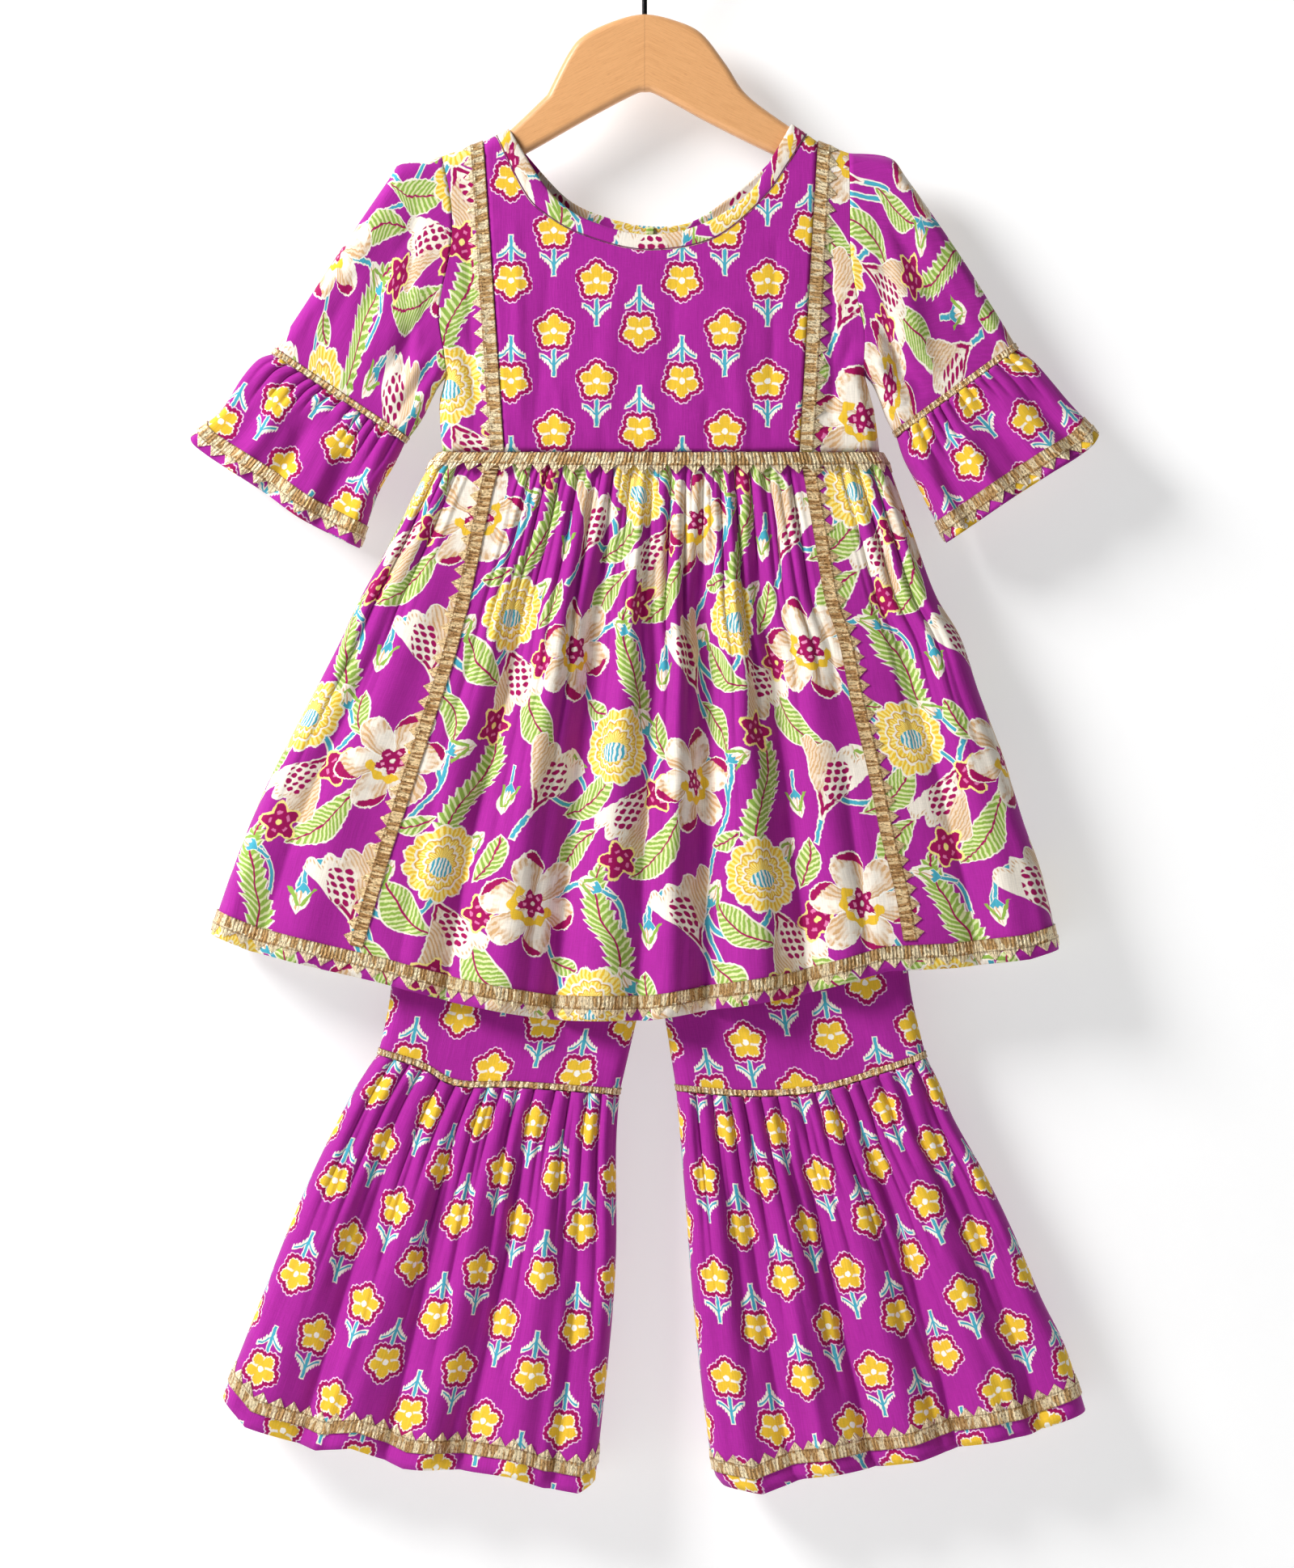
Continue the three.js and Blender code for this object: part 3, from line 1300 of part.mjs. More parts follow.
{
  const outline = [
    ...BOARD_OUTLINE.hump,
    ...BOARD_OUTLINE.shoulderRight.map(underShoulder),
    ...BOARD_OUTLINE.endRight,
    ...BOARD_OUTLINE.under,
    ...BOARD_OUTLINE.endLeft,
    ...BOARD_OUTLINE.shoulderLeft.map(underShoulder),
  ];
  const shape = new THREE.Shape(outline.map((row) => new THREE.Vector2(row.x, row.z)));
  const depth = BOARD_THICKNESS - 2 * BOARD_BEVEL;
  const board = new THREE.ExtrudeGeometry(shape, {
    depth,
    bevelSize: BOARD_BEVEL,
    bevelThickness: BOARD_BEVEL,
    bevelOffset: -BOARD_BEVEL,
    bevelSegments: 2,
  });
  board.rotateX(Math.PI / 2);
  board.translate(0, depth / 2, 0);
  const mesh = new THREE.Mesh(board, new THREE.MeshStandardMaterial({ color: WOOD_COLOUR, roughness: 0.6 }));
  mesh.name = 'hanger_board';
  suit.add(mesh);
}

// The origin is on the underside of the crook, so the wire's middle is a radius above it
const STEM_X = -1.5;
const STEM_Z = [BOARD_TOP_Z + GAP, -56, -50, -44];
const CROOK_DEGREES = [-40, -20, 0, 25, 50, 75, 90, 105, 130, 155, 180, 200];
const WIRE_STEPS = 28;

{
  const centreZ = WIRE_RADIUS - CROOK_RADIUS;
  const stem = STEM_Z.map((z) => new THREE.Vector3(STEM_X, 0, z));
  const crook = CROOK_DEGREES.map((degrees) => {
    const angle = THREE.MathUtils.degToRad(degrees);
    return new THREE.Vector3(CROOK_RADIUS * Math.cos(angle), 0, centreZ + CROOK_RADIUS * Math.sin(angle));
  });
  const route = new THREE.CatmullRomCurve3([...stem, ...crook], false, 'centripetal');
  const section = new THREE.Shape();
  section.absarc(0, 0, WIRE_RADIUS, 0, 2 * Math.PI);
  const wire = new THREE.ExtrudeGeometry(section, {
    steps: WIRE_STEPS,
    curveSegments: 4,
    extrudePath: route,
    bevelEnabled: false,
  });
  const look = new THREE.MeshStandardMaterial({ color: WIRE_COLOUR, roughness: 0.4, metalness: 0.8 });
  const mesh = new THREE.Mesh(wire, look);
  mesh.name = 'hanger_hook';
  suit.add(mesh);
}

export default suit;
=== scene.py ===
"""Looks for a child's gharara suit on a wooden hanger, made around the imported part."""
import math
from functools import partialmethod

import bpy
import numpy as np
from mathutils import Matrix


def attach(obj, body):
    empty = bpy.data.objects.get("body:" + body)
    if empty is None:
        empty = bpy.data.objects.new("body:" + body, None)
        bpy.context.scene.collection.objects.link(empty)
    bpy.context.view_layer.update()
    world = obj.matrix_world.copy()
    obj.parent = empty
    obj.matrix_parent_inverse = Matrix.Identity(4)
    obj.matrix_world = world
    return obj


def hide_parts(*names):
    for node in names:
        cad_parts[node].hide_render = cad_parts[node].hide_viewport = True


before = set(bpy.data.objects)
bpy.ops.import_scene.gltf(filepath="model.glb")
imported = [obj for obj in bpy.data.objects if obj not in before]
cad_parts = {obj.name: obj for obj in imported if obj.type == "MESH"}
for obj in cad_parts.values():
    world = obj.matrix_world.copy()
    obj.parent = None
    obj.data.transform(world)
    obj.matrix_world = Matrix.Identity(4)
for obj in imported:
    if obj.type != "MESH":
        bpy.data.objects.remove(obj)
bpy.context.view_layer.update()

# All sizes are in millimetres until a mesh is made. The front faces -Y, and left is the side at -X.
MM = 0.001
METRE = 1000.0
FRONT = -1
BACK = 1
FACES = {"front": FRONT, "back": BACK}

CLOTH = 0.6
SEAM_HALF = 0.15
LACE_BAND = 8.0
TOOTH = 5.5
SHOULDER_DEPTH = 9.0
WAIST_DEPTH = 13.0
SKIRT_HEM_DEPTH = 24.0
SLEEVE_DEPTH = 12.0
CUFF_DEPTH = 9.5
FRILL_HEM_DEPTH = 15.0
WAISTBAND_DEPTH = 7.9
UPPER_DEPTH = 8.6
FLARE_HEM_DEPTH = 17.0
EDGE_RADIUS = 8.0
SHOULDER_Z = -145.0
WAIST_Z = -335.0
CROTCH_Z = -620.0
UNDERARM_SHARE = 0.735
OPENING_X = 2.0
NECK_END_GAP = 0.6
BINDING = 1.1
# How deep the tables' folds and creases are made, and how narrow a valley is beside a ridge
FOLD_SCALE = 1.6
CREASE_SCALE = 2.2
VALLEY_SHARE = 0.6
LEAST_DEPTH = 1.0


# Curves and surfaces

def smooth(start, end, value):
    t = np.clip((value - start) / (end - start), 0, 1)
    return t * t * (3 - 2 * t)


def lerp(a, b, t):
    return a + (b - a) * t


def round_rise(distance, radius):
    t = np.clip(distance / radius, 0, 1)
    return np.sqrt(np.maximum(0, 1 - (1 - t) ** 2))


def gathers(phase, power=0.5):
    """Ridges from -1 to 1 with narrow valleys, one for each whole step of the phase."""
    return 2 * np.abs(np.sin(math.pi * phase)) ** power - 1


def off_seam(depth, edge):
    """The depth, brought down to the seams where edge is 0."""
    return SEAM_HALF + (depth - SEAM_HALF) * edge


def by_length(line):
    """Points along a line, by share of its length."""
    steps = np.hypot(*np.diff(line, axis=0).T)
    along = np.concatenate([[0], np.cumsum(steps)]) / steps.sum()

    def at(t):
        t = np.clip(t, 0, 1)
        return np.stack([np.interp(t, along, line[:, 0]), np.interp(t, along, line[:, 1])], axis=-1)

    return at


def straight(points):
    return by_length(np.array(points, float))


def dense(points, samples=40):
    """A smooth line through points, as many short steps."""
    p = np.array(points, float)
    padded = np.vstack([p[:1], p, p[-1:]])
    t = np.linspace(0, 1, samples, endpoint=False)[:, None]
    runs = []
    for i in range(len(p) - 1):
        a, b, c, d = padded[i:i + 4]
        start = (2 * t ** 3 - 3 * t ** 2 + 1) * b + (t ** 3 - 2 * t ** 2 + t) * (c - a) / 2
        end = (3 * t ** 2 - 2 * t ** 3) * c + (t ** 3 - t ** 2) * (d - b) / 2
        runs.append(start + end)
    return np.vstack([*runs, p[-1:]])


def curve(points):
    return by_length(dense(points))


def patch(top, bottom, left, right):
    """A patch between four curves: top and bottom run across by u, left and right run down by v."""
    corners = [top(0.0), top(1.0), bottom(0.0), bottom(1.0)]

    def place(u, v):
        u, v = np.broadcast_arrays(np.asarray(u, float), np.asarray(v, float))
        across, down = u[..., None], v[..., None]
        ruled = lerp(top(u), bottom(u), down) + lerp(left(v), right(v), across)
        return ruled - lerp(lerp(corners[0], corners[1], across), lerp(corners[2], corners[3], across), down)

    return place


def moved(place, dx, dz=0.0):
    return lambda t: place(t) + np.array([dx, dz])


def distance_to(points, x, z):
    nearest = np.full(np.shape(x), 1e9)
    for (x0, z0), (x1, z1) in zip(points, points[1:]):
        dx, dz = x1 - x0, z1 - z0
        along = np.clip(((x - x0) * dx + (z - z0) * dz) / (dx * dx + dz * dz), 0, 1)
        nearest = np.minimum(nearest, np.hypot(x - x0 - along * dx, z - z0 - along * dz))
    return nearest


def folds_at(folds, u, v):
    """Broad folds: share across, lean, width, height in millimetres, and share down where they start."""
    height = np.zeros(np.shape(u))
    for at, lean, width, rise, start in folds:
        side = np.abs(u - at - lean * (v - 0.5)) / width
        shape = np.exp(-(side / VALLEY_SHARE) ** 1.25) if rise < 0 else np.exp(-side * side)
        height = height + FOLD_SCALE * rise * shape * smooth(start, start + 0.3, v)
    return height


def kept_above(depth, low):
    """The depth, eased so that it stays over a lowest value."""
    return (depth + low + np.hypot(depth - low, 2.0)) / 2


def creases_at(creases, x, z):
    """Creases between two points: x0, z0, x1, z1, width, height. They fade towards both ends."""
    height = np.zeros(np.shape(x))
    for x0, z0, x1, z1, width, rise in creases:
        dx, dz = x1 - x0, z1 - z0
        length = math.hypot(dx, dz)
        along = ((x - x0) * dx + (z - z0) * dz) / length ** 2
        side = ((x - x0) * dz - (z - z0) * dx) / length / width
        fade = np.sqrt(np.clip(4 * along * (1 - along), 0, 1))
        height = height + rise * np.exp(-np.abs(side) ** (1.4 if rise < 0 else 2.0)) * fade
    return height


class Cloth:
    """A grid of points on the middle of a cloth, with normals that point out of the suit."""

    def __init__(self, x, depth, z, facing, closed=False):
        self.points = np.stack([x, depth if closed else facing * depth, z], axis=-1)
        self.closed = closed
        along = np.gradient(self.points, axis=0)
        if closed:
            across = np.roll(self.points, -1, axis=1) - np.roll(self.points, 1, axis=1)
        else:
            across = np.gradient(self.points, axis=1)
        normals = np.cross(along, across)
        normals /= np.maximum(np.linalg.norm(normals, axis=-1, keepdims=True), 1e-9)
        rows, columns = x.shape
        probe = normals[rows // 2, columns // (4 if closed else 2), 1]
        self.normals = normals if probe * facing > 0 else -normals
        steps = np.linalg.norm(np.diff(self.points, axis=0), axis=-1)
        self.down = np.vstack([np.zeros((1, columns)), np.cumsum(steps, axis=0)])

    def _columns(self, c):
        count = self.points.shape[1]
        if self.closed:
            low = np.floor(c).astype(int)
            return low % count, (low + 1) % count, c - low
        low = np.clip(np.floor(c).astype(int), 0, count - 2)
        return low, low + 1, np.clip(c, 0, count - 1) - low

    def at(self, r, c, out):
        """Points moved out from the cloth, with r and c as rows and columns and any share between."""
        r, c, out = np.broadcast_arrays(np.asarray(r, float), np.asarray(c, float), np.asarray(out, float))
        rows = self.points.shape[0]
        r = np.clip(r, 0, rows - 1)
        r0 = np.minimum(r.astype(int), rows - 2)
        c0, c1, b = self._columns(c)
        a, b = (r - r0)[..., None], b[..., None]
        found = []
        for grid in (self.points, self.normals):
            top = lerp(grid[r0, c0], grid[r0, c1], b)
            found.append(lerp(top, lerp(grid[r0 + 1, c0], grid[r0 + 1, c1], b), a))
        return found[0] + found[1] * out[..., None]

    def row_at(self, c, distance):
        """The row a distance down column c from the first row, or up from the last if it is negative."""
        c, distance = np.broadcast_arrays(np.asarray(c, float), np.asarray(distance, float))
        c0, c1, b = self._columns(c)
        rows = np.arange(self.points.shape[0])
        result = np.empty(c.shape)
        for i in np.ndindex(c.shape):
            lengths = lerp(self.down[:, c0[i]], self.down[:, c1[i]], b[i])
            target = distance[i] if distance[i] >= 0 else lengths[-1] + distance[i]
            result[i] = np.interp(target, lengths, rows)
        return result

    def columns_along(self, row, count):
        """Columns evenly spaced by length along a row."""
        line = self.points[row]
        if self.closed:
            line = np.vstack([line, line[:1]])
        steps = np.linalg.norm(np.diff(line, axis=0), axis=-1)
        along = np.concatenate([[0], np.cumsum(steps)])
        share = np.linspace(0, along[-1], count)
        return np.interp(share, along, np.arange(len(line))), along[-1]


# Meshes

def shell(outer, inner, uv, closed=False):
    """A thin shell between two grids: points, four-sided faces and a texture place for each corner."""
    rows, columns = outer.shape[:2]
    index = np.arange(rows * columns).reshape(rows, columns)
    uv_index = np.arange(uv.shape[0] * uv.shape[1]).reshape(uv.shape[:2])
    if closed:
        index = np.hstack([index, index[:, :1]])
    count = rows * columns

    def cells(a, b, c, d):
        return np.stack([a.ravel(), b.ravel(), c.ravel(), d.ravel()], axis=-1)

    faces, places = [], []
    for grid, found, shift in ((index, faces, count), (uv_index, places, 0)):
        found.append(cells(grid[:-1, :-1], grid[1:, :-1], grid[1:, 1:], grid[:-1, 1:]))
        low = grid + shift
        found.append(cells(low[:-1, :-1], low[:-1, 1:], low[1:, 1:], low[1:, :-1]))
        found.append(cells(grid[0, :-1], grid[0, 1:], low[0, 1:], low[0, :-1]))
        found.append(cells(grid[-1, :-1], low[-1, :-1], low[-1, 1:], grid[-1, 1:]))
        if not closed:
            found.append(cells(grid[:-1, 0], low[:-1, 0], low[1:, 0], grid[1:, 0]))
            found.append(cells(grid[:-1, -1], grid[1:, -1], low[1:, -1], low[:-1, -1]))
    points = np.vstack([outer.reshape(-1, 3), inner.reshape(-1, 3)])
    return points, np.vstack(faces), uv.reshape(-1, 2)[np.vstack(places)]


def add_object(name, data):
    made = bpy.data.objects.new(name, data)
    bpy.context.scene.collection.objects.link(made)
    return made


def add_piece(name, data, slot, *nodes):
    """An object of the suit, which stands for the named solids."""
    made = add_object(name, data)
    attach(made, "root")
    if nodes:
        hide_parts(*nodes)
    return made


def mesh_piece(name, parts, material, slot, *nodes):
    """One piece from a list of shells."""
    points, faces, places = [], [], []
    start = 0
    for part_points, part_faces, part_places in parts:
        a, b, c, d = (part_points[part_faces[:, k]] for k in range(4))
        volume = (np.cross(b, c) * a).sum() + (np.cross(c, d) * a).sum()
        if volume < 0:
            part_faces = part_faces[:, ::-1]
            part_places = part_places[:, ::-1]
        points.append(part_points)
        faces.append(part_faces + start)
        places.append(part_places)
        start += len(part_points)
    points, faces, places = np.vstack(points) * MM, np.vstack(faces), np.vstack(places) * MM
    mesh = bpy.data.meshes.new(name)
    mesh.vertices.add(len(points))
    mesh.vertices.foreach_set("co", points.ravel())
    mesh.loops.add(faces.size)
    mesh.loops.foreach_set("vertex_index", faces.ravel().astype(np.int32))
    mesh.polygons.add(len(faces))
    mesh.polygons.foreach_set("loop_start", np.arange(0, faces.size, 4, dtype=np.int32))
    mesh.polygons.foreach_set("use_smooth", np.ones(len(faces), bool))
    mesh.uv_layers.new(name="cloth").data.foreach_set("uv", places.reshape(-1, 2).ravel())
    mesh.update(calc_edges=True)
    mesh.materials.append(material)
    return add_piece(name, mesh, slot, *nodes)


# Materials: small maths on sockets

def rgb(red, green, blue):
    def linear(value):
        value /= 255
        return value / 12.92 if value <= 0.04045 else ((value + 0.055) / 1.055) ** 2.4
    return (linear(red), linear(green), linear(blue), 1.0)


def add_node(tree, kind, inputs=(), **settings):
    node = tree.nodes.new(kind)
    for key, item in settings.items():
        setattr(node, key, item)
    fill(tree, node, dict(inputs))
    return node


def fill(tree, node, inputs):
    """Links a node's inputs from values and sockets, and sets the others to constants."""
    for key, item in inputs.items():
        if isinstance(item, Value):
            item = item.socket
        if isinstance(item, bpy.types.NodeSocket):
            tree.links.new(item, node.inputs[key])
        else:
            node.inputs[key].default_value = item


class Value:
    """A number in a node tree, with ordinary arithmetic."""

    def __init__(self, tree, socket):
        self.tree = tree
        self.socket = socket

    def of(self, operation, *others, clamp=False):
        inputs = enumerate((self, *others))
        node = add_node(self.tree, "ShaderNodeMath", inputs, operation=operation, use_clamp=clamp)
        return Value(self.tree, node.outputs[0])

    __add__ = partialmethod(of, "ADD")
    __sub__ = partialmethod(of, "SUBTRACT")
    __mul__ = partialmethod(of, "MULTIPLY")
    __truediv__ = partialmethod(of, "DIVIDE")
    __neg__ = partialmethod(of, "MULTIPLY", -1.0)
    __abs__ = partialmethod(of, "ABSOLUTE")
    power = partialmethod(of, "POWER")
    sin = partialmethod(of, "SINE")
    cos = partialmethod(of, "COSINE")
    floor = partialmethod(of, "FLOOR")
    least = partialmethod(of, "MINIMUM")
    most = partialmethod(of, "MAXIMUM")
    wrap = partialmethod(of, "FLOORED_MODULO")
    arctan = partialmethod(of, "ARCTAN2")

    def scaled(self, factor, offset=0.0):
        return self.of("MULTIPLY_ADD", factor, offset)

    def below(self, edge, soft=0.35):
        """1 where the value is under the edge, 0 over it, with a soft change."""
        return (self - edge).of("MULTIPLY_ADD", -1 / soft, 0.5, clamp=True)

    def above(self, edge, soft=0.35):
        return (self - edge).of("MULTIPLY_ADD", 1 / soft, 0.5, clamp=True)

    def between(self, start, end):
        inputs = {"Value": self, "From Min": start, "From Max": end}
        node = add_node(self.tree, "ShaderNodeMapRange", inputs, interpolation_type="SMOOTHSTEP")
        return Value(self.tree, node.outputs["Result"])


def joined(x, y):
    return add_node(x.tree, "ShaderNodeCombineXYZ", {0: x, 1: y}).outputs[0]


def split(tree, socket, second):
    """Two values from a place in metres, in millimetres: X, and the one with the index given."""
    node = add_node(tree, "ShaderNodeSeparateXYZ", {0: socket})
    return Value(tree, node.outputs[0]) * METRE, Value(tree, node.outputs[second]) * METRE


def length(x, y):
    node = add_node(x.tree, "ShaderNodeVectorMath", {0: joined(x, y)}, operation="LENGTH")
    return Value(x.tree, node.outputs["Value"])


def turned(x, y, degrees):
    c, s = math.cos(math.radians(degrees)), math.sin(math.radians(degrees))
    return x * c + y * s, y * c - x * s


def petal_side(angle, petals, turn=0.0):
    """-1 to 1 across each petal, with 0 at its middle."""
    return (angle + turn).wrap(2 * math.pi / petals).scaled(petals / math.pi, -1.0)


class Paint:
    """A colour that is painted over through masks."""

    def __init__(self, tree, colour):
        self.tree = tree
        self.socket = None
        self.colour = colour

    def over(self, colour, mask):
        first = self.socket or self.colour
        second = colour.socket if isinstance(colour, Paint) else colour
        node = add_node(self.tree, "ShaderNodeMix", {0: mask, 6: first, 7: second}, data_type="RGBA")
        self.socket = node.outputs[2]
        return self

    def blend(self, start, end, mask):
        """A colour between two, for use in over()."""
        return Paint(self.tree, start).over(end, mask)

    def times(self, value):
        """Lighter and darker by a number around 1."""
        inputs = {0: self.socket, "Scale": value}
        node = add_node(self.tree, "ShaderNodeVectorMath", inputs, operation="SCALE")
        self.socket = node.outputs[0]


def new_material(name):
    material = bpy.data.materials.new(name)
    material.use_nodes = True
    tree = material.node_tree
    return material, tree, tree.nodes["Principled BSDF"]


def plain(name, colour, roughness=0.9):
    material, tree, principled = new_material(name)
    fill(tree, principled, {"Base Color": colour, "Roughness": roughness})
    return material, tree, principled


def cloth_place(tree):
    """The place on the flat cloth, in millimetres."""
    return split(tree, add_node(tree, "ShaderNodeUVMap", uv_map="cloth").outputs[0], 1)


def object_place(tree):
    """The place across and up the object, in millimetres."""
    return split(tree, add_node(tree, "ShaderNodeTexCoord").outputs["Object"], 2)


def noise(x, y, scale=1.0, detail=2.0, roughness=0.5):
    inputs = {"Vector": joined(x, y), "Scale": scale, "Detail": detail, "Roughness": roughness}
    node = add_node(x.tree, "ShaderNodeTexNoise", inputs, noise_dimensions="2D")
    return Value(x.tree, node.outputs[0])


def finish_shader(tree, principled, paint, height=None, strength=0.0, distance=0.0, **gloss):
    """The colour, the fine relief where a height is given, and the shader's other inputs by their names."""
    if height is not None:
        inputs = {"Strength": strength, "Distance": distance, "Height": height}
        bump = add_node(tree, "ShaderNodeBump", inputs)
        fill(tree, principled, {"Normal": bump.outputs[0]})
    fill(tree, principled, {"Base Color": paint.socket, **gloss})


def half_drop(x, y, centre, size):
    """Places measured from a motif's nearest repeat. Every second column drops by half and is mirrored."""
    x = x - centre[0]
    y = y - centre[1]
    column = (x * (1 / size[0])).floor()
    odd = column.wrap(2.0)
    local_x = (x - column.scaled(size[0], size[0] / 2)) * odd.scaled(-2.0, 1.0)
    local_y = (y + odd * (size[1] / 2)).wrap(size[1]) - size[1] / 2
    return local_x, local_y


GROUND = rgb(166, 36, 149)
CREAM = rgb(243, 234, 220)
SAND = rgb(208, 166, 118)
YELLOW = rgb(236, 192, 54)
PALE_YELLOW = rgb(247, 228, 140)
MAGENTA = rgb(160, 8, 88)
TEAL = rgb(70, 165, 188)
GREEN = rgb(142, 176, 74)
PALE_GREEN = rgb(218, 224, 166)
PALE_PINK = rgb(240, 205, 226)


def weave(tree, x, y, paint, principled):
    """Slubby cotton: uneven threads in colour and relief, a little sheen."""
    warp = noise(x * 2.6, y * 0.16, 1.0, 2.0)
    weft = noise(x * 0.16, y * 2.6, 1.0, 2.0)
    patches = noise(x, y, 0.035, 2.0)
    slubs = noise(x * 1.1, y * 0.05, 1.0, 1.0)
    threads = warp.scaled(0.22, -0.11) + weft.scaled(0.22, -0.11) + slubs.scaled(0.3, -0.15)
    paint.times(threads + patches.scaled(0.14, 0.93))
    gloss = {"Roughness": 0.82, "Specular IOR Level": 0.15, "Sheen Weight": 0.08, "Sheen Roughness": 0.5}
    finish_shader(tree, principled, paint, warp + weft, 0.35, 0.0004, **gloss)


def sprig_print():
    """Small flowers on stems: two columns upright, two upside down, each column half a repeat lower."""
    material, tree, principled = new_material("cotton_sprig")
    x, y = cloth_place(tree)
    wobble = noise(x, y, 0.35, 1.0).scaled(1.0, -0.5)
    column_width, repeat = 26.5, 62.5
    column = (x * (1 / column_width)).floor()
    local_x = x - column.scaled(column_width, column_width / 2) + wobble
    down = column.wrap(4.0).above(1.5, 0.1)
    flip = down.scaled(-2.0, 1.0)
    local_y = ((y + column.wrap(2.0) * (repeat / 2)).wrap(repeat) - repeat / 2) * flip + wobble

    paint = Paint(tree, GROUND)
    r = length(local_x, local_y)
    angle = local_y.arctan(local_x)
    side = abs(petal_side(angle, 5, math.pi / 10))
    scallop = abs((angle * 12.5).sin())
    edge = side.power(1.5).scaled(-4.3, 10.7)
    outer = edge.scaled(0.7, 3.5) + scallop * 0.9
    stem = abs(local_x).most(abs(local_y + 17.5) - 9.5)
    inward = (abs(local_x) - 1.0).scaled(-1 / 8.2, 1.0)
    under = local_y + 14.2 + inward * inward * 5.4
    feather = abs((local_x * 2.0).sin()).scaled(1.7, 1.3) + inward * 3.2
    wing = (under - 0.6).most(-under - feather).most(inward * -8.2)
    vein = (under + 0.3).most(-under - 1.7).most(inward * -8.2 + 1.0)
    paint.over(CREAM, stem.below(1.7).most(wing.below(0.0)))
    paint.over(TEAL, stem.below(1.0).most(vein.below(0.0)))
    paint.over(PALE_PINK, r.below(outer + 2.8))
    paint.over(GROUND, r.below(outer + 2.05))
    paint.over(MAGENTA, r.below(outer + 1.75))
    rough = noise(x, y, 0.8, 1.0).scaled(2.6, -1.3)
    paint.over(CREAM, r.below(outer - 0.8))
    gap = abs(local_y + 0.8 + abs(local_x) * 0.16).below(0.8, 0.5) * r.above(3.0)
    paint.over(YELLOW, (r + rough).below(edge.scaled(0.92, 0.3)))
    lines = abs(side - 1.0).below(0.1, 0.1) * r.above(5.5) * 0.6
    paint.over(CREAM, lines.most(gap) * r.below(edge))
    paint.over(rgb(250, 246, 236), (r + rough * 0.3).below(1.9))
    weave(tree, x, y, paint, principled)
    return material


FLORAL_REPEAT = (116.0, 160.0)
# Motifs in one repeat: centre, then turn and size, or radius and side for the stems' shoots
STEM_SHOOTS = [((-17.5, 24.0), 27.7, 1), ((8.5, -40.0), 21.5, -1), ((-33.5, -52.0), 21.7, 1)]
PLAIN_LEAVES = [
    ((-46.0, -8.0), 52.0, 1.15), ((14.0, -58.0), -38.0, 1.05), ((6.0, 72.0), 130.0, 0.95),
    ((-50.0, 62.0), -70.0, 0.8), ((8.0, -2.0), 20.0, 0.6),
]
BUDS = [((-4.0, -34.0), -30.0), ((51.0, -8.0), -40.0), ((22.0, 50.0), -70.0), ((-51.0, -59.0), 180.0)]
BELLS = [((-24.0, -44.0), 24.0, 1.12), ((46.0, -66.0), -150.0, 1.05)]
SMALL_FLOWERS = [(40.0, 66.0), (-50.0, 28.0)]
ROUND_BLOOMS = [(30.0, -24.0)]


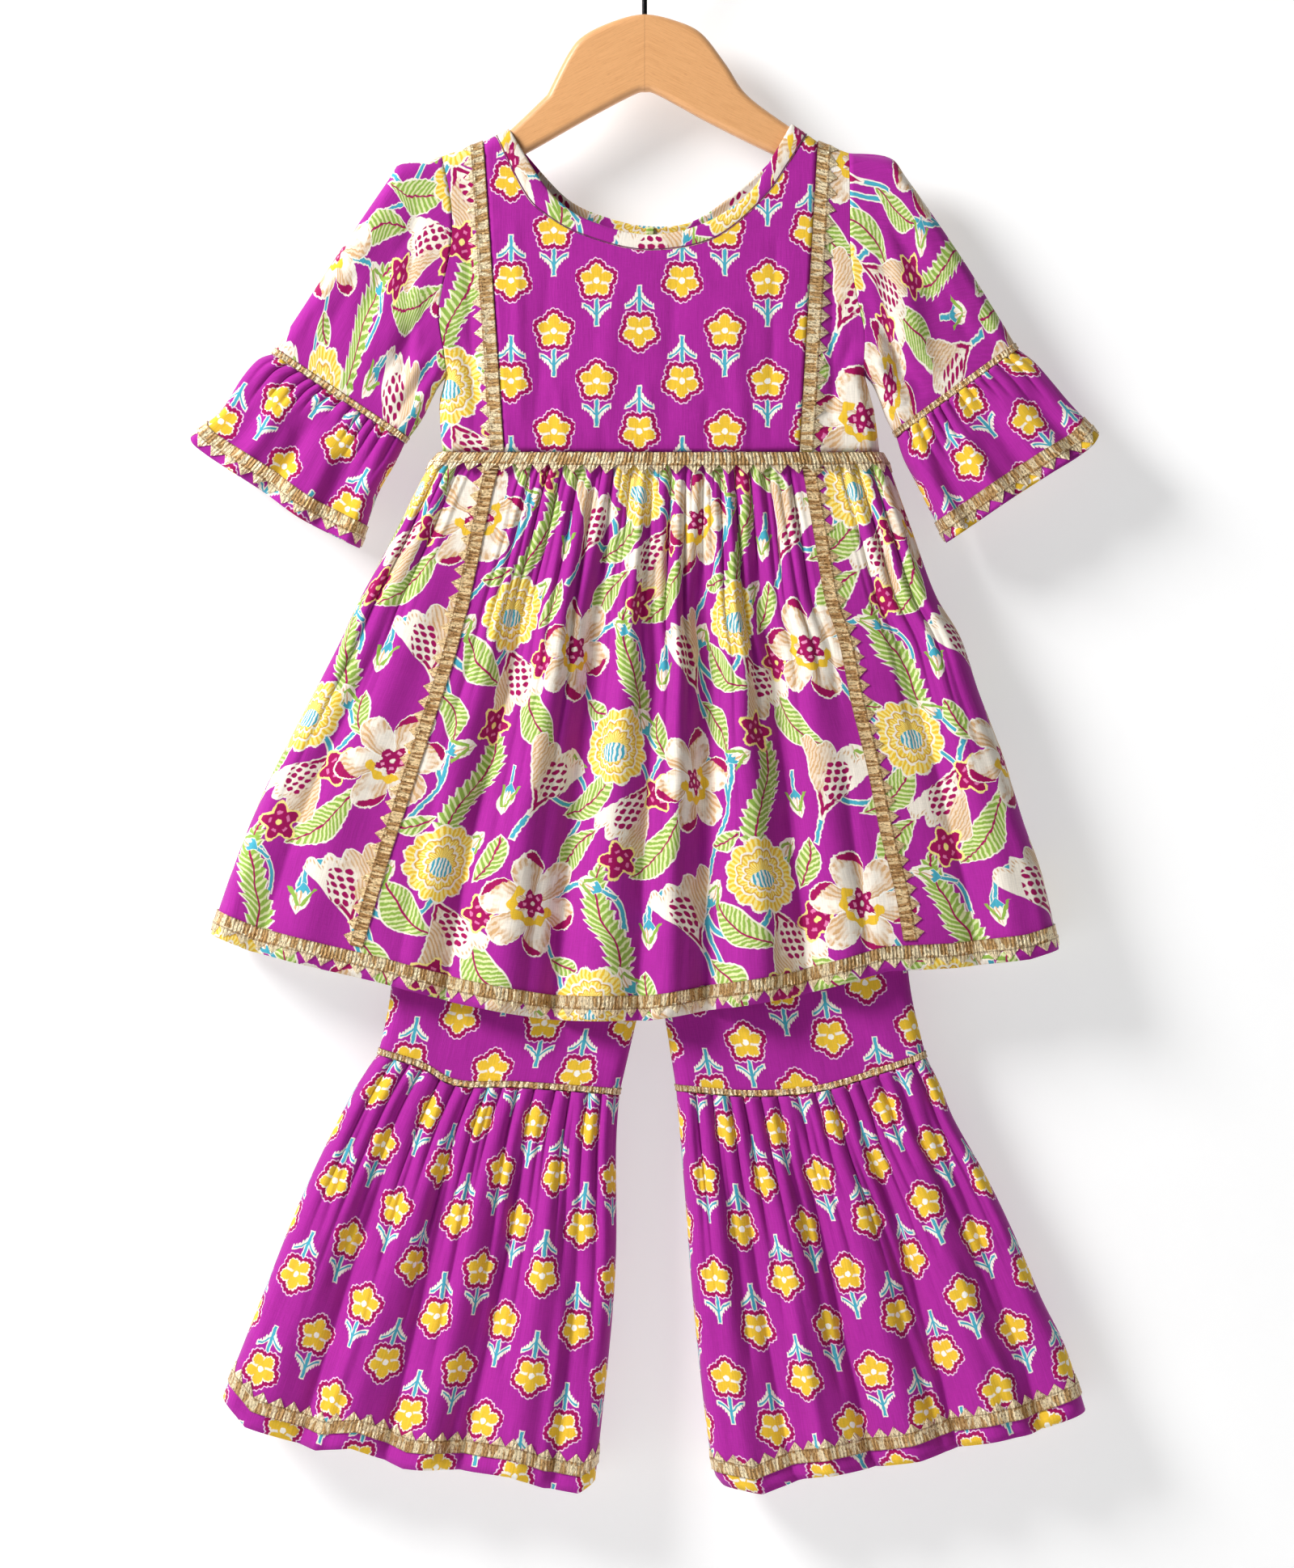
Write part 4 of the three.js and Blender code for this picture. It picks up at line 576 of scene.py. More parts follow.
def jaal_print():
    """A generic trailing floral: open flowers, round blooms, bells, buds, small dark flowers and leaves."""
    material, tree, principled = new_material("cotton_floral")
    x, y = cloth_place(tree)
    drift = noise(x, y, 0.03, 1.0).scaled(9.0, -4.5)
    shake = noise(y, x, 0.3, 1.0).scaled(1.6, -0.8)
    x2 = x + drift + shake
    y2 = y + drift * 0.6 - shake
    paint = Paint(tree, GROUND)
    fine = noise(x2, y2, 0.8, 1.0).scaled(2.0, -1.0)
    brush = noise(x2, y2, 0.12, 2.0)

    def at(centre, turn=0.0):
        px, py = half_drop(x2, y2, centre, FLORAL_REPEAT)
        return turned(px, py, turn) if turn else (px, py)

    def polar(centre):
        px, py = at(centre)
        return px, py, length(px, py), py.arctan(px)

    def lined(line, rim, core):
        paint.over(CREAM, line.below(rim))
        paint.over(TEAL, line.below(core))

    def leaf(edge, rim, veins, middle, vein, inset):
        paint.over(CREAM, edge.below(rim))
        paint.over(paint.blend(GREEN, PALE_GREEN, veins), edge.below(0.0))
        paint.over(MAGENTA, abs(middle).below(vein) * edge.below(-inset))

    # Stems: one long wave up each column and curved side shoots that end under leaves and flowers
    px, py = at((2.0, 0.0))
    stem = abs(px - (py * (2 * math.pi / FLORAL_REPEAT[1])).sin() * 13.0)
    for (cx, cy), radius, upward in STEM_SHOOTS:
        ring = abs(length(px - cx, py - cy) - radius)
        stem = stem.least(ring.most((py - cy) * -float(upward)))
    lined(stem, 2.1, 1.25)

    # Saw-edged long leaves
    px, py = at((36.0, 24.0))
    middle = px - (py * 0.06).sin() * 10.0
    saw = (py * 0.17).wrap(1.0) * 3.4
    edge = abs(middle) - (py * py).scaled(-7.0 / 1764.0, 7.5) - saw * abs(py).below(38.0, 6.0)
    leaf(edge, 1.1, (abs(middle) * 1.1 - py * 1.5).sin().between(-0.2, 0.8), middle, 0.7, 0.6)

    # Plain leaves
    for centre, turn, size in PLAIN_LEAVES:
        px, py = at(centre, turn)
        bend = py - (px * px) * (0.011 / size)
        width = (px * px).scaled(-9.0 / (22.0 * size) ** 2, 9.0 * size) * px.scaled(-0.012, 1.0)
        leaf(abs(bend) - width, 1.0, (abs(bend) * 1.3 + px * 1.7).sin().between(-0.4, 0.6), bend, 0.6, 0.8)

    # Buds in a green cup
    for centre, turn in BUDS:
        px, py = at(centre, turn)
        lined(abs(px).most(abs(py + 13.0) - 6.0), 1.8, 1.1)
        bud = abs(px) + (py * py).scaled(0.056, -5.2)
        paint.over(CREAM, bud.below(0.6))
        strokes = (px * 3.0 + py * 0.4).sin().between(-0.3, 0.6)
        paint.over(SAND, strokes * bud.below(-0.6) * px.above(-0.5, 2.0))
        cup = bud.most(py + 2.6 + abs((px * 1.1).sin()) * 2.2)
        paint.over(TEAL, cup.below(0.3))
        wing = (abs(px) - 4.4 + py * 0.5).most(-abs(px) + 2.6 - py * 0.5).most(abs(py + 1.0) - 6.0)
        paint.over(GREEN, wing.below(0.2))

    # Bells with a spotted throat
    for centre, turn, size in BELLS:
        px, py = (part * (1 / size) for part in at(centre, turn))
        mouth = abs((px * 0.29).sin()) * 5.5 + 13.0
        waist = py.between(-27.0, 10.0) * 17.0 + py.between(4.0, 16.0) * 4.0
        edge = (abs(px) - waist).most(py - mouth).most(-py - 25.0)
        lined(abs(px).most(abs(py + 31.0) - 8.0), 1.9, 1.1)
        paint.over(CREAM, edge.below(1.0))
        strokes = (px * 3.1 + py * 0.35 + brush * 5.0).sin().between(-0.3, 0.7)
        shade = (px + brush * 16.0 - 8.0).between(-2.0, 9.0) * strokes.scaled(0.5, 0.5)
        lip = abs(py - mouth + 3.0 - abs(px) * 0.12).below(1.1, 1.2) * strokes
        paint.over(paint.blend(CREAM, SAND, shade.most(lip * 0.9)), edge.below(0.0))
        dots = length(px.wrap(4.6) - 2.3, (py + px * 0.5).wrap(4.8) - 2.4).below(1.75)
        throat = length(px + 3.0, (py + 1.0) * 0.7).below(8.6)
        paint.over(MAGENTA, dots * throat)
        paint.over(MAGENTA, edge.above(-2.6) * edge.below(-0.3) * py.below(-11.0, 2.0))

    # Small dark flowers
    for centre in SMALL_FLOWERS:
        _, _, r, angle = polar(centre)
        edge = (angle * 5.0).cos().scaled(2.4, 9.6) + fine * 0.5
        paint.over(PALE_YELLOW, r.below(edge + 1.7))
        paint.over(MAGENTA, r.below(edge))
        spots = (angle * 5.0).cos().above(0.2, 0.4) * abs(r - 5.8).below(0.9)
        paint.over(rgb(222, 120, 170), spots)
        paint.over(PALE_YELLOW, r.below(1.9))

    # Round yellow blooms with a hatched eye
    for centre in ROUND_BLOOMS:
        px, py, r, angle = polar(centre)
        lobes = abs((angle * 6.0).sin())
        edge = lobes.scaled(2.8, 20.5) + fine * 0.6
        rays = ((angle * 40.0).sin() + brush * 1.6 - 0.8).between(-0.5, 0.6)
        paint.over(CREAM, r.below(edge + 1.3))
        paint.over(paint.blend(YELLOW, PALE_YELLOW, rays), r.below(edge))
        for ring, turn in ((15.0, 0.5), (9.6, 1.1)):
            course = r - abs((angle * 6.0 + turn).sin()).scaled(2.2, ring)
            paint.over(CREAM, abs(course).below(0.75))
            paint.over(rgb(206, 152, 46), abs(course + 1.2).below(0.5) * 0.8)
        eye = length(px * 0.85, (py + 2.5) * 1.15)
        stripes = (px * 2.4).sin().between(-0.3, 0.3)
        paint.over(paint.blend(TEAL, CREAM, stripes), eye.below(6.8))

    # Open flowers with turned petal tips and a dark eye
    px, py, r, angle = polar((-20.0, 36.0))
    side = petal_side(angle, 6, 0.35)
    away = abs(side)
    edge = away.power(2.2).scaled(-13.0, 32.0) + side * 2.2 + fine * 0.7
    inside = r.below(edge)
    paint.over(CREAM, r.below(edge + 1.2))
    hatch = (angle * 46.0 + brush * 6.0).sin().between(-0.5, 0.6)
    shade = (side + brush * 1.2).between(0.5, 1.3) + (r / edge).between(0.55, 0.96) * brush.between(0.4, 0.55)
    paint.over(paint.blend(CREAM, SAND, shade.least(1.0) * hatch.scaled(0.5, 0.5)), inside)
    paint.over(rgb(250, 246, 238), away.above(0.95, 0.05) * inside)
    curl = (r - edge + 5.4 - (side - 0.42).power(2.0) * 15.0).above(0.0) * side.above(-0.05, 0.05)
    alternate = (angle + 0.35).scaled(6 / (2 * math.pi)).floor().wrap(3.0).below(1.5, 0.1)
    paint.over(MAGENTA, curl * inside * alternate)
    ring = abs(r - 12.0) - (angle * 9.0).cos().scaled(1.0, 2.2)
    paint.over(YELLOW, ring.below(0.0) * (py - px * 0.5).below(5.0, 1.0))
    paint.over(MAGENTA, (r + fine).below((angle * 5.0 + 0.6).cos().scaled(1.9, 7.6)))
    spots = (angle * 5.0 + 0.6).cos().above(0.35, 0.3) * abs(r - 5.2).below(0.9)
    paint.over(rgb(236, 150, 190), spots)
    paint.over(CREAM, r.below(1.5))

    weave(tree, x, y, paint, principled)
    return material


def gold_material(name, dark, middle, painted_highlight, pleat):
    """Metallic woven trim: painted highlights on some pleats, on the raised crinkles and on the teeth,
    painted shade on its fine ridges and in the crinkles' hollows, crinkles across, and fine threads along it.
    """
    material, tree, principled = new_material(name)
    x, y = cloth_place(tree)
    patches = noise(x * (1 / pleat), y * 0.06, 1.0, 1.0).between(0.47, 0.56)
    crinkle = noise(x * 1.2, y * 0.5, 1.0, 2.0, 0.6)
    ridges = (x * 2.7 + crinkle * 4.0).sin()
    paint = Paint(tree, middle)
    # Painted shade: dark lines on the fine ridges across the band.
    paint.over(dark, ridges.between(0.2, 1.0) * 0.55)
    # Painted highlights: bright patches on some pleats and on the crinkles' raised parts.
    paint.over(painted_highlight, (patches * 0.85 + crinkle.between(0.55, 0.75) * 0.5).least(1.0))
    # Painted highlight: the teeth lighter than the band.
    paint.over(painted_highlight, y.between(8.2, 8.8) * 0.75)
    # Painted shade in the crinkles' hollows.
    paint.over(dark, crinkle.between(0.45, 0.3) * 0.7)
    edges = (abs(y - 4.0) - 3.5).between(-0.3, 0.2) * (abs(y - 4.0) - 4.2).between(0.3, 0.0)
    paint.over(dark, edges * 0.5)
    finish_shader(tree, principled, paint, crinkle + ridges * 0.35, 0.9, 0.0009,
                  Roughness=crinkle.scaled(0.4, 0.12), Metallic=0.55)
    return material


def wood_material():
    material, tree, principled = new_material("hanger_wood")
    x, z = object_place(tree)
    down = abs(x) * 0.5 + z
    along = abs(x) - z * 0.3
    bend = noise(along, down, 0.012, 1.0) * 8.0
    grain = noise(along * 0.05, down * 1.6 + bend, 1.0, 3.0, 0.6)
    pores = noise(along * 0.25, down * 5.0, 1.0, 2.0)
    paint = Paint(tree, rgb(228, 170, 114))
    paint.over(rgb(204, 142, 86), grain.between(0.35, 0.75) * 0.5)
    paint.over(rgb(176, 116, 68), pores.between(0.6, 0.72) * 0.3)
    joint = abs(x + 1.5)
    paint.over(rgb(172, 118, 74), joint.below(0.3, 0.3) * 0.35)
    gloss = {"Roughness": 0.42, "Coat Weight": 0.25, "Coat Roughness": 0.3}
    finish_shader(tree, principled, paint, grain + pores * 0.5, 0.15, 0.0003, **gloss)
    return material


def wire_material():
    material, tree, principled = new_material("hook_wire")
    x, z = object_place(tree)
    wear = noise(x, z, 0.6, 3.0)
    paint = Paint(tree, rgb(26, 26, 28))
    paint.over(rgb(88, 86, 84), wear.between(0.6, 0.8) * 0.5)
    finish_shader(tree, principled, paint, Roughness=wear.scaled(0.3, 0.2), Metallic=0.9)
    return material


FLORAL = jaal_print()
SPRIG = sprig_print()
# Each gold takes a dark colour for its painted shade and the lines by its edges, a middle colour, and a
# colour for its painted highlights.
GOLD = gold_material("gold_lace", rgb(118, 78, 42), rgb(206, 163, 104), rgb(254, 236, 196), 4.5)
OLD_GOLD = gold_material("gold_lace_dark", rgb(102, 66, 36), rgb(186, 140, 84), rgb(250, 220, 168), 3.0)
GOLD_RIBBON = gold_material("gold_ribbon", rgb(118, 78, 42), rgb(204, 160, 102), rgb(254, 236, 196), 3.0)
WOOD = wood_material()
WIRE = wire_material()


# Pieces of cloth


def flat_places(cloth, width=None, origin=(0.0, 0.0), turn=0.0):
    """Where each point lies on the flat cloth. Gathered rows reach one width by their steep sides."""
    points = cloth.points
    if cloth.closed:
        points = np.concatenate([points, points[:, :1]], axis=1)
    steps = np.diff(points, axis=1)
    level = np.hypot(steps[..., 0], steps[..., 2])
    deep = np.abs(steps[..., 1])
    if width is None:
        taken = np.hypot(level, deep)
    else:
        low, high = np.zeros((len(points), 1)), np.full((len(points), 1), 30.0)
        for _ in range(40):
            factor = (low + high) / 2
            wide = np.hypot(level, factor * deep).sum(axis=1, keepdims=True) > width
            high = np.where(wide, factor, high)
            low = np.where(wide, low, factor)
        taken = np.hypot(level, low * deep)
        taken *= width / taken.sum(axis=1, keepdims=True)
    across = np.concatenate([np.zeros((len(points), 1)), np.cumsum(taken, axis=1)], axis=1)
    across -= across[:, -1:] / 2
    down = cloth.down
    if cloth.closed:
        down = np.hstack([down, down[:, :1]])
    c, s = math.cos(math.radians(turn)), math.sin(math.radians(turn))
    flat = np.stack([across * c + down * s, across * s - down * c], axis=-1)
    return flat + np.array(origin)


def front_places(cloth, origin=(0.0, 0.0)):
    """Where each point lies on the flat cloth, for cloth that hangs nearly flat."""
    return cloth.points[..., [0, 2]] + np.array(origin)


def lay(name, cloth, places, material, node,
        thickness=CLOTH):
    """Makes a piece of cloth of the given thickness about its middle, with its places on the flat cloth as
    texture places.
    """
    outer = cloth.points + cloth.normals * thickness / 2
    inner = cloth.points - cloth.normals * thickness / 2
    slot = "cotton_sprig" if material == SPRIG else "cotton_floral"
    made = mesh_piece(name, [shell(outer, inner, places, cloth.closed)], material, slot, node)


SHOULDER_LINE = [
    (-152, -154.5), (-127.5, -150.5), (-101.5, -141.5), (-86, -133.5), (0, -90), (90, -130.5),
    (106, -141.5), (125.5, -148.5), (152, -152.5),
]

SIDES = {
    "left": {
        "sign": -1,
        "lace_top": (-101.5, -141.5),
        "lace_foot": (-88.5, WAIST_Z),
        "armhole": [
            (-127.5, -150.5), (-121.5, -181), (-122, -208.5), (-129, -246), (-126, -272), (-125, -286.5),
        ],
        "side": [(-125, -286.5), (-129, -305.5), (-127, WAIST_Z)],
        "sleeve_outer": [
            (-127.5, -150.5), (-152, -154.5), (-160.5, -165), (-190.5, -209), (-215.5, -247),
            (-233, -273.5),
        ],
        "sleeve_under": [(-125, -286.5), (-129.3, -292), (-133.5, -300), (-141, -315), (-151, -328.5)],
        "frill_outer": [
            (-233, -273.5), (-242, -277), (-252, -288.5), (-263.5, -307), (-273.5, -316.5), (-283.5, -325),
        ],
        "frill_inner": [(-151, -328.5), (-157.5, -342), (-167.5, -360), (-175.5, -383), (-179, -394)],
        "frill_hem": [
            (-283.5, -325), (-280, -331.5), (-262, -344), (-240, -358), (-218, -374), (-194, -386.5),
            (-179, -394),
        ],
    },
    "right": {
        "sign": 1,
        "lace_top": (106, -141.5),
        "lace_foot": (94.5, WAIST_Z),
        "armhole": [
            (125.5, -148.5), (126, -180), (126.5, -214.5), (130.5, -239.5), (135, -261.5), (135, -285),
        ],
        "side": [(135, -285), (141, -308.5), (144.5, WAIST_Z)],
        "sleeve_outer": [
            (125.5, -148.5), (150, -151), (162, -165), (194.5, -212), (219.5, -252), (230.5, -270.5),
        ],
        "sleeve_under": [(135, -285), (140.5, -292), (145, -302), (149, -313), (155.5, -325)],
        "frill_outer": [(230.5, -270.5), (241, -278.5), (252, -291), (262.5, -303.5), (281, -323.5)],
        "frill_inner": [(155.5, -325), (160, -338.5), (167, -352), (175, -368), (186.5, -390.5)],
        "frill_hem": [(281, -323.5), (274, -333), (252, -347), (230, -361), (208, -376), (186.5, -390.5)],
    },
}

NECKS = {
    FRONT: {
        "inner": [
            (-86, -133.5), (-68, -163), (-55.5, -178.5), (-36.5, -191), (-0.5, -200), (34, -193.5),
            (63, -174.5), (78.5, -150.5), (90, -130.5),
        ],
        "outer": [
            (-94, -137.6), (-76, -174.5), (-61, -189), (-39, -200.5), (-2, -209.5), (40, -203),
            (71, -178.5), (87.5, -156), (99.5, -137.1),
        ],
    },
    BACK: {
        "inner": [
            (-86, -133.5), (-74.5, -149), (-49, -176), (-23.5, -187.5), (2, -192.5), (27.5, -190),
            (53, -173.5), (78.5, -150.5), (90, -130.5),
        ],
        "outer": [
            (-94, -137.6), (-83, -157), (-54, -186.5), (-26, -198.5), (2, -203.5), (30, -201),
            (59, -183.5), (87, -159), (99.5, -137.1),
        ],
    },
}

BODICE_CREASE_SCALE = 2.0
# x0, z0, x1, z1, width, height
BODICE_CREASES = [
    (-60, -215, -70, -330, 5, -0.7), (-20, -230, -30, -332, 6, 0.6), (18, -215, 12, -330, 5, -0.6),
    (52, -240, 60, -333, 6, 0.7), (80, -200, 76, -330, 4, -0.7), (-82, -190, -78, -320, 4, 0.6),
    (-112, -200, -106, -330, 3.5, -0.8), (114, -200, 116, -330, 4, -0.9), (-118, -262, -98, -318, 4, -1.1),
    (128, -262, 108, -320, 4, -1.1), (-30, -300, -26, -336, 3, -0.6), (38, -300, 36, -336, 3, -0.6),
    (0, -290, 2, -336, 3, 0.6), (-55, -292, -52, -336, 3, 0.5), (66, -296, 64, -336, 3, -0.5),
]


def shoulder_z(x):
    return np.interp(x, *np.array(SHOULDER_LINE, float).T)


def bodice_depth(x, z):
    x, z = np.asarray(x, float), np.asarray(z, float)
    down = shoulder_z(x) - z
    left = distance_to(SIDES["left"]["side"], x, z)
    right = distance_to(SIDES["right"]["side"], x, z)
    body = lerp(SHOULDER_DEPTH, WAIST_DEPTH, smooth(SHOULDER_Z, WAIST_Z, z))
    edge = round_rise(down, EDGE_RADIUS) * round_rise(np.where(x < 0, left, right), EDGE_RADIUS)
    return off_seam(body, edge)


def bodice_cloth(facing, x, z):
    relief = BODICE_CREASE_SCALE * creases_at(BODICE_CREASES, -facing * x, z)
    settle = smooth(0, 12, shoulder_z(x) - z)
    return Cloth(x, bodice_depth(x, z) + relief * settle, z, facing)


def arm_side(side):
    """Armhole and side seam together, by share of height."""
    line = dense([*side["armhole"], *side["side"][1:]], 200)

    def at(v):
        z = lerp(line[0, 1], line[-1, 1], np.asarray(v, float))
        return np.stack([np.interp(-z, -line[:, 1], line[:, 0]), z], axis=-1)

    return at


def offset_curve(place, amount):
    step = 0.004

    def at(t):
        t = np.asarray(t, float)
        run = place(t + step) - place(t - step)
        run /= np.linalg.norm(run, axis=-1, keepdims=True)
        return place(t) + np.stack([-run[..., 1], run[..., 0]], axis=-1) * amount

    return at


def column_panel(tops, foot_left, foot_right, rows, bulge=None):
    share = (tops[:, 0] - tops[0, 0]) / (tops[-1, 0] - tops[0, 0])
    v = rows[:, None]
    x = lerp(tops[:, 0], lerp(foot_left, foot_right, share), v)
    if bulge is not None:
        x = x + bulge(rows)[:, None] * (1 - share)
    return x, lerp(tops[:, 1], WAIST_Z + SEAM_HALF, v)


ROWS = np.linspace(0, 1, 72) ** 1.5
hosts = {}

for name, side in SIDES.items():
    outer = moved(arm_side(side), -side["sign"] * SEAM_HALF)
    inner = moved(straight([side["lace_top"], side["lace_foot"]]), side["sign"] * SEAM_HALF)
    u = np.linspace(0, 1, 34) ** 1.3
    grid = lerp(outer(ROWS)[:, None], inner(ROWS)[:, None], u[None, :, None])
    z = np.maximum(grid[..., 1], WAIST_Z + SEAM_HALF)
    cloth = bodice_cloth(FRONT, grid[..., 0], z)
    hosts[f"bodice_front_{name}"] = cloth
    places = front_places(cloth, (20.0 * side["sign"], 30.0))
    lay(f"bodice_side_{name}", cloth, places, FLORAL, f"bodice_front_{name}")

left, right = SIDES["left"], SIDES["right"]
seam = offset_curve(curve(NECKS[FRONT]["outer"]), -SEAM_HALF)
tops = seam(np.linspace(0, 1, 96))
tops[[0, -1], 0] += (-NECK_END_GAP, NECK_END_GAP)
left_edge = np.array([[left["lace_top"][0] + SEAM_HALF, left["lace_top"][1]]])
right_edge = np.array([[right["lace_top"][0] - SEAM_HALF, right["lace_top"][1]]])
left_middle, right_middle = lerp(left_edge, tops[:1], 0.5), lerp(tops[-1:], right_edge, 0.5)
tops = np.vstack([left_edge, left_middle, tops, right_middle, right_edge])
x, z = column_panel(tops, left["lace_foot"][0] + SEAM_HALF, right["lace_foot"][0] - SEAM_HALF, ROWS)
cloth = bodice_cloth(FRONT, x, z)
lay("bodice_centre", cloth, front_places(cloth, (71.0, -21.5)), SPRIG, "bodice_front_centre")

for name, side in SIDES.items():
    seam = offset_curve(curve(NECKS[BACK]["outer"]), -SEAM_HALF)
    share = np.concatenate([np.linspace(0, 0.1, 14, endpoint=False), np.linspace(0.1, 1, 50)])
    tops = seam(share * 0.5 if side["sign"] < 0 else 1 - share * 0.5)
    tops[0, 0] += side["sign"] * NECK_END_GAP
    centre_x = OPENING_X + side["sign"] * SEAM_HALF
    tops[-1, 0] = centre_x
    arm_top = np.array([[side["armhole"][0][0] - side["sign"] * SEAM_HALF, side["armhole"][0][1]]])
    lace_top = np.array([side["lace_top"]], float)
    between = np.linspace(0, 1, 6)[:, None]
    tops = np.vstack([lerp(arm_top, lace_top, between)[:-1], lerp(lace_top, tops[:1], between[:-1]), tops])
    outer = moved(arm_side(side), -side["sign"] * SEAM_HALF)
    foot = outer(1.0)[0]
    x, z = column_panel(tops, foot, centre_x, ROWS, lambda v: outer(v)[:, 0] - lerp(tops[0, 0], foot, v))
    cloth = bodice_cloth(BACK, x, z)
    places = front_places(cloth, (64.0, 12.0)) * np.array([-1.0, 1.0])
    lay(f"bodice_cloth_back_{name}", cloth, places, FLORAL, f"bodice_back_{name}")

# Neck bindings: folded strips, a little fuller in the middle, with a row of stitches by the outer edge in a
# dark thread that also stands for painted shade in the seam's groove
# The stitches are darker than the cloth: real stitches, and painted shade of the seam's groove.
SEAM_THREAD_AND_SHADE = plain("seam_thread_and_shade", rgb(104, 26, 84), 0.6)[0]
STITCH_ROWS = [7.35, 7.6, 7.85]


def binding(name, facing, share, insets, node):
    inner = curve(NECKS[facing]["inner"])(share)
    outer = offset_curve(curve(NECKS[facing]["outer"]), SEAM_HALF)(share)
    inner[:, 0] += insets
    outer[:, 0] += insets
    w = np.linspace(0, 1, 9)
    grid = lerp(inner[None], outer[None], w[:, None, None])
    full = 0.7 * (1 - (2 * w[:, None] - 1) ** 2)
    cloth = Cloth(grid[..., 0], bodice_depth(grid[..., 0], grid[..., 1]) + full, grid[..., 1], facing)
    lay(name, cloth, flat_places(cloth, None, (30.0, 47.0)), FLORAL, node, thickness=BINDING)
    c, r = np.meshgrid(np.arange(len(share)), STITCH_ROWS)
    stitch = 0.16 * np.abs(np.sin(c * 0.9))
    outer, inner = cloth.at(r, c, 0.62 + stitch), cloth.at(r, c, 0.3)
    parts = [shell(outer, inner, np.stack([c * 1.0, r], axis=-1))]
    mesh_piece(f"{name}_seam", parts, SEAM_THREAD_AND_SHADE, "cotton_floral")


binding("binding_front", FRONT, np.linspace(0, 1, 180), np.zeros(180), "neck_binding_front")
middle = OPENING_X - curve(NECKS[BACK]["inner"])(0.5)[0]
near_middle = np.linspace(0, 1, 90) ** 6
binding("binding_back_left", BACK, np.linspace(0, 0.5, 90), (middle - SEAM_HALF) * near_middle,
        "neck_binding_back_left")
binding("binding_back_right", BACK, np.linspace(1, 0.5, 90), (middle + SEAM_HALF) * near_middle,
        "neck_binding_back_right")

PLACKET_WIDTH = 5.0
PLACKET_LENGTH = 110.0
PLACKET_DROP = 0.5
PLACKET_IN = 1.2

x, v = np.meshgrid(OPENING_X + np.linspace(-0.5, 0.5, 5) * PLACKET_WIDTH, np.linspace(0, 1, 40))
z = curve(NECKS[BACK]["inner"])(0.5)[1] - PLACKET_DROP - v * PLACKET_LENGTH
cloth = Cloth(x, bodice_depth(x, z) - PLACKET_IN, z, BACK)
places = flat_places(cloth, None, (10.0, 80.0))
lay("placket", cloth, places, FLORAL, "back_placket")

# Sleeves and their frills

SLEEVE_FOLDS = [
    (0.3, 0.1, 0.12, -2.2, 0.0), (0.55, -0.1, 0.1, 1.8, 0.1), (0.76, 0.1, 0.09, -2.4, 0.2),
]
SLEEVE_CREASES = [
    (-140, -175, -152, -262, 5, -1.2), (-150, -200, -178, -290, 5, 1.0), (-132, -240, -172, -300, 4, -1.6),
    (-128, -262, -160, -305, 3.5, 1.1), (-176, -215, -205, -275, 5, -1.0),
    (-131, -278, -158, -316, 3, -1.2), (-160, -180, -192, -240, 6, 0.9), (-138, -225, -148, -300, 4, 0.8),
    (-205, -245, -218, -280, 4, -0.7),
]


def tube(place, depth, w, rows):
    """A flat tube: from its outer edge over the front to its inner edge, and back behind."""
    behind = w[1:-1][::-1]
    front = place(w[None], rows[:, None])
    rear = place(behind[None], rows[:, None])
    y = np.hstack([-depth(w[None], rows[:, None], FRONT), depth(behind[None], rows[:, None], BACK)])
    x = np.hstack([front[..., 0], rear[..., 0]])
    z = np.hstack([front[..., 1], rear[..., 1]])
    return Cloth(x, y, z, FRONT, closed=True)


def across_width(place, v):
    return np.linalg.norm(place(1.0, v) - place(0.0, v), axis=-1)


def from_edges(place, u, v, radius):
    """0 at the side edges of a panel, 1 from a radius away."""
    return round_rise(np.minimum(u, 1 - u) * across_width(place, v), radius)


def close_at_edges(count):
    """Shares from 0 to 1 that lie closer together towards both ends."""
    return (1 - np.cos(np.linspace(0, math.pi, count))) / 2


FRILL_WAVES = 3
FRILL_GATHERS = 15
FRILL_FLAT = 296.0
FRILL_EDGE = EDGE_RADIUS * 1.6
FRILL_GATHER_HEIGHT = 2.0
FRILL_WAVE_HEIGHT = 3.2
SLEEVE_CREASE_SCALE = 1.7
SLEEVE_TURN = 24.0
SLEEVE_ROWS = 54
FRILL_ROWS = 34
FRILL_MIDDLE_COLUMNS = 118
W = close_at_edges(66)
# The frill keeps the eight outermost columns by each edge
FRILL_W = np.concatenate([W[:8], np.linspace(W[8], W[-9], FRILL_MIDDLE_COLUMNS), W[-8:]])

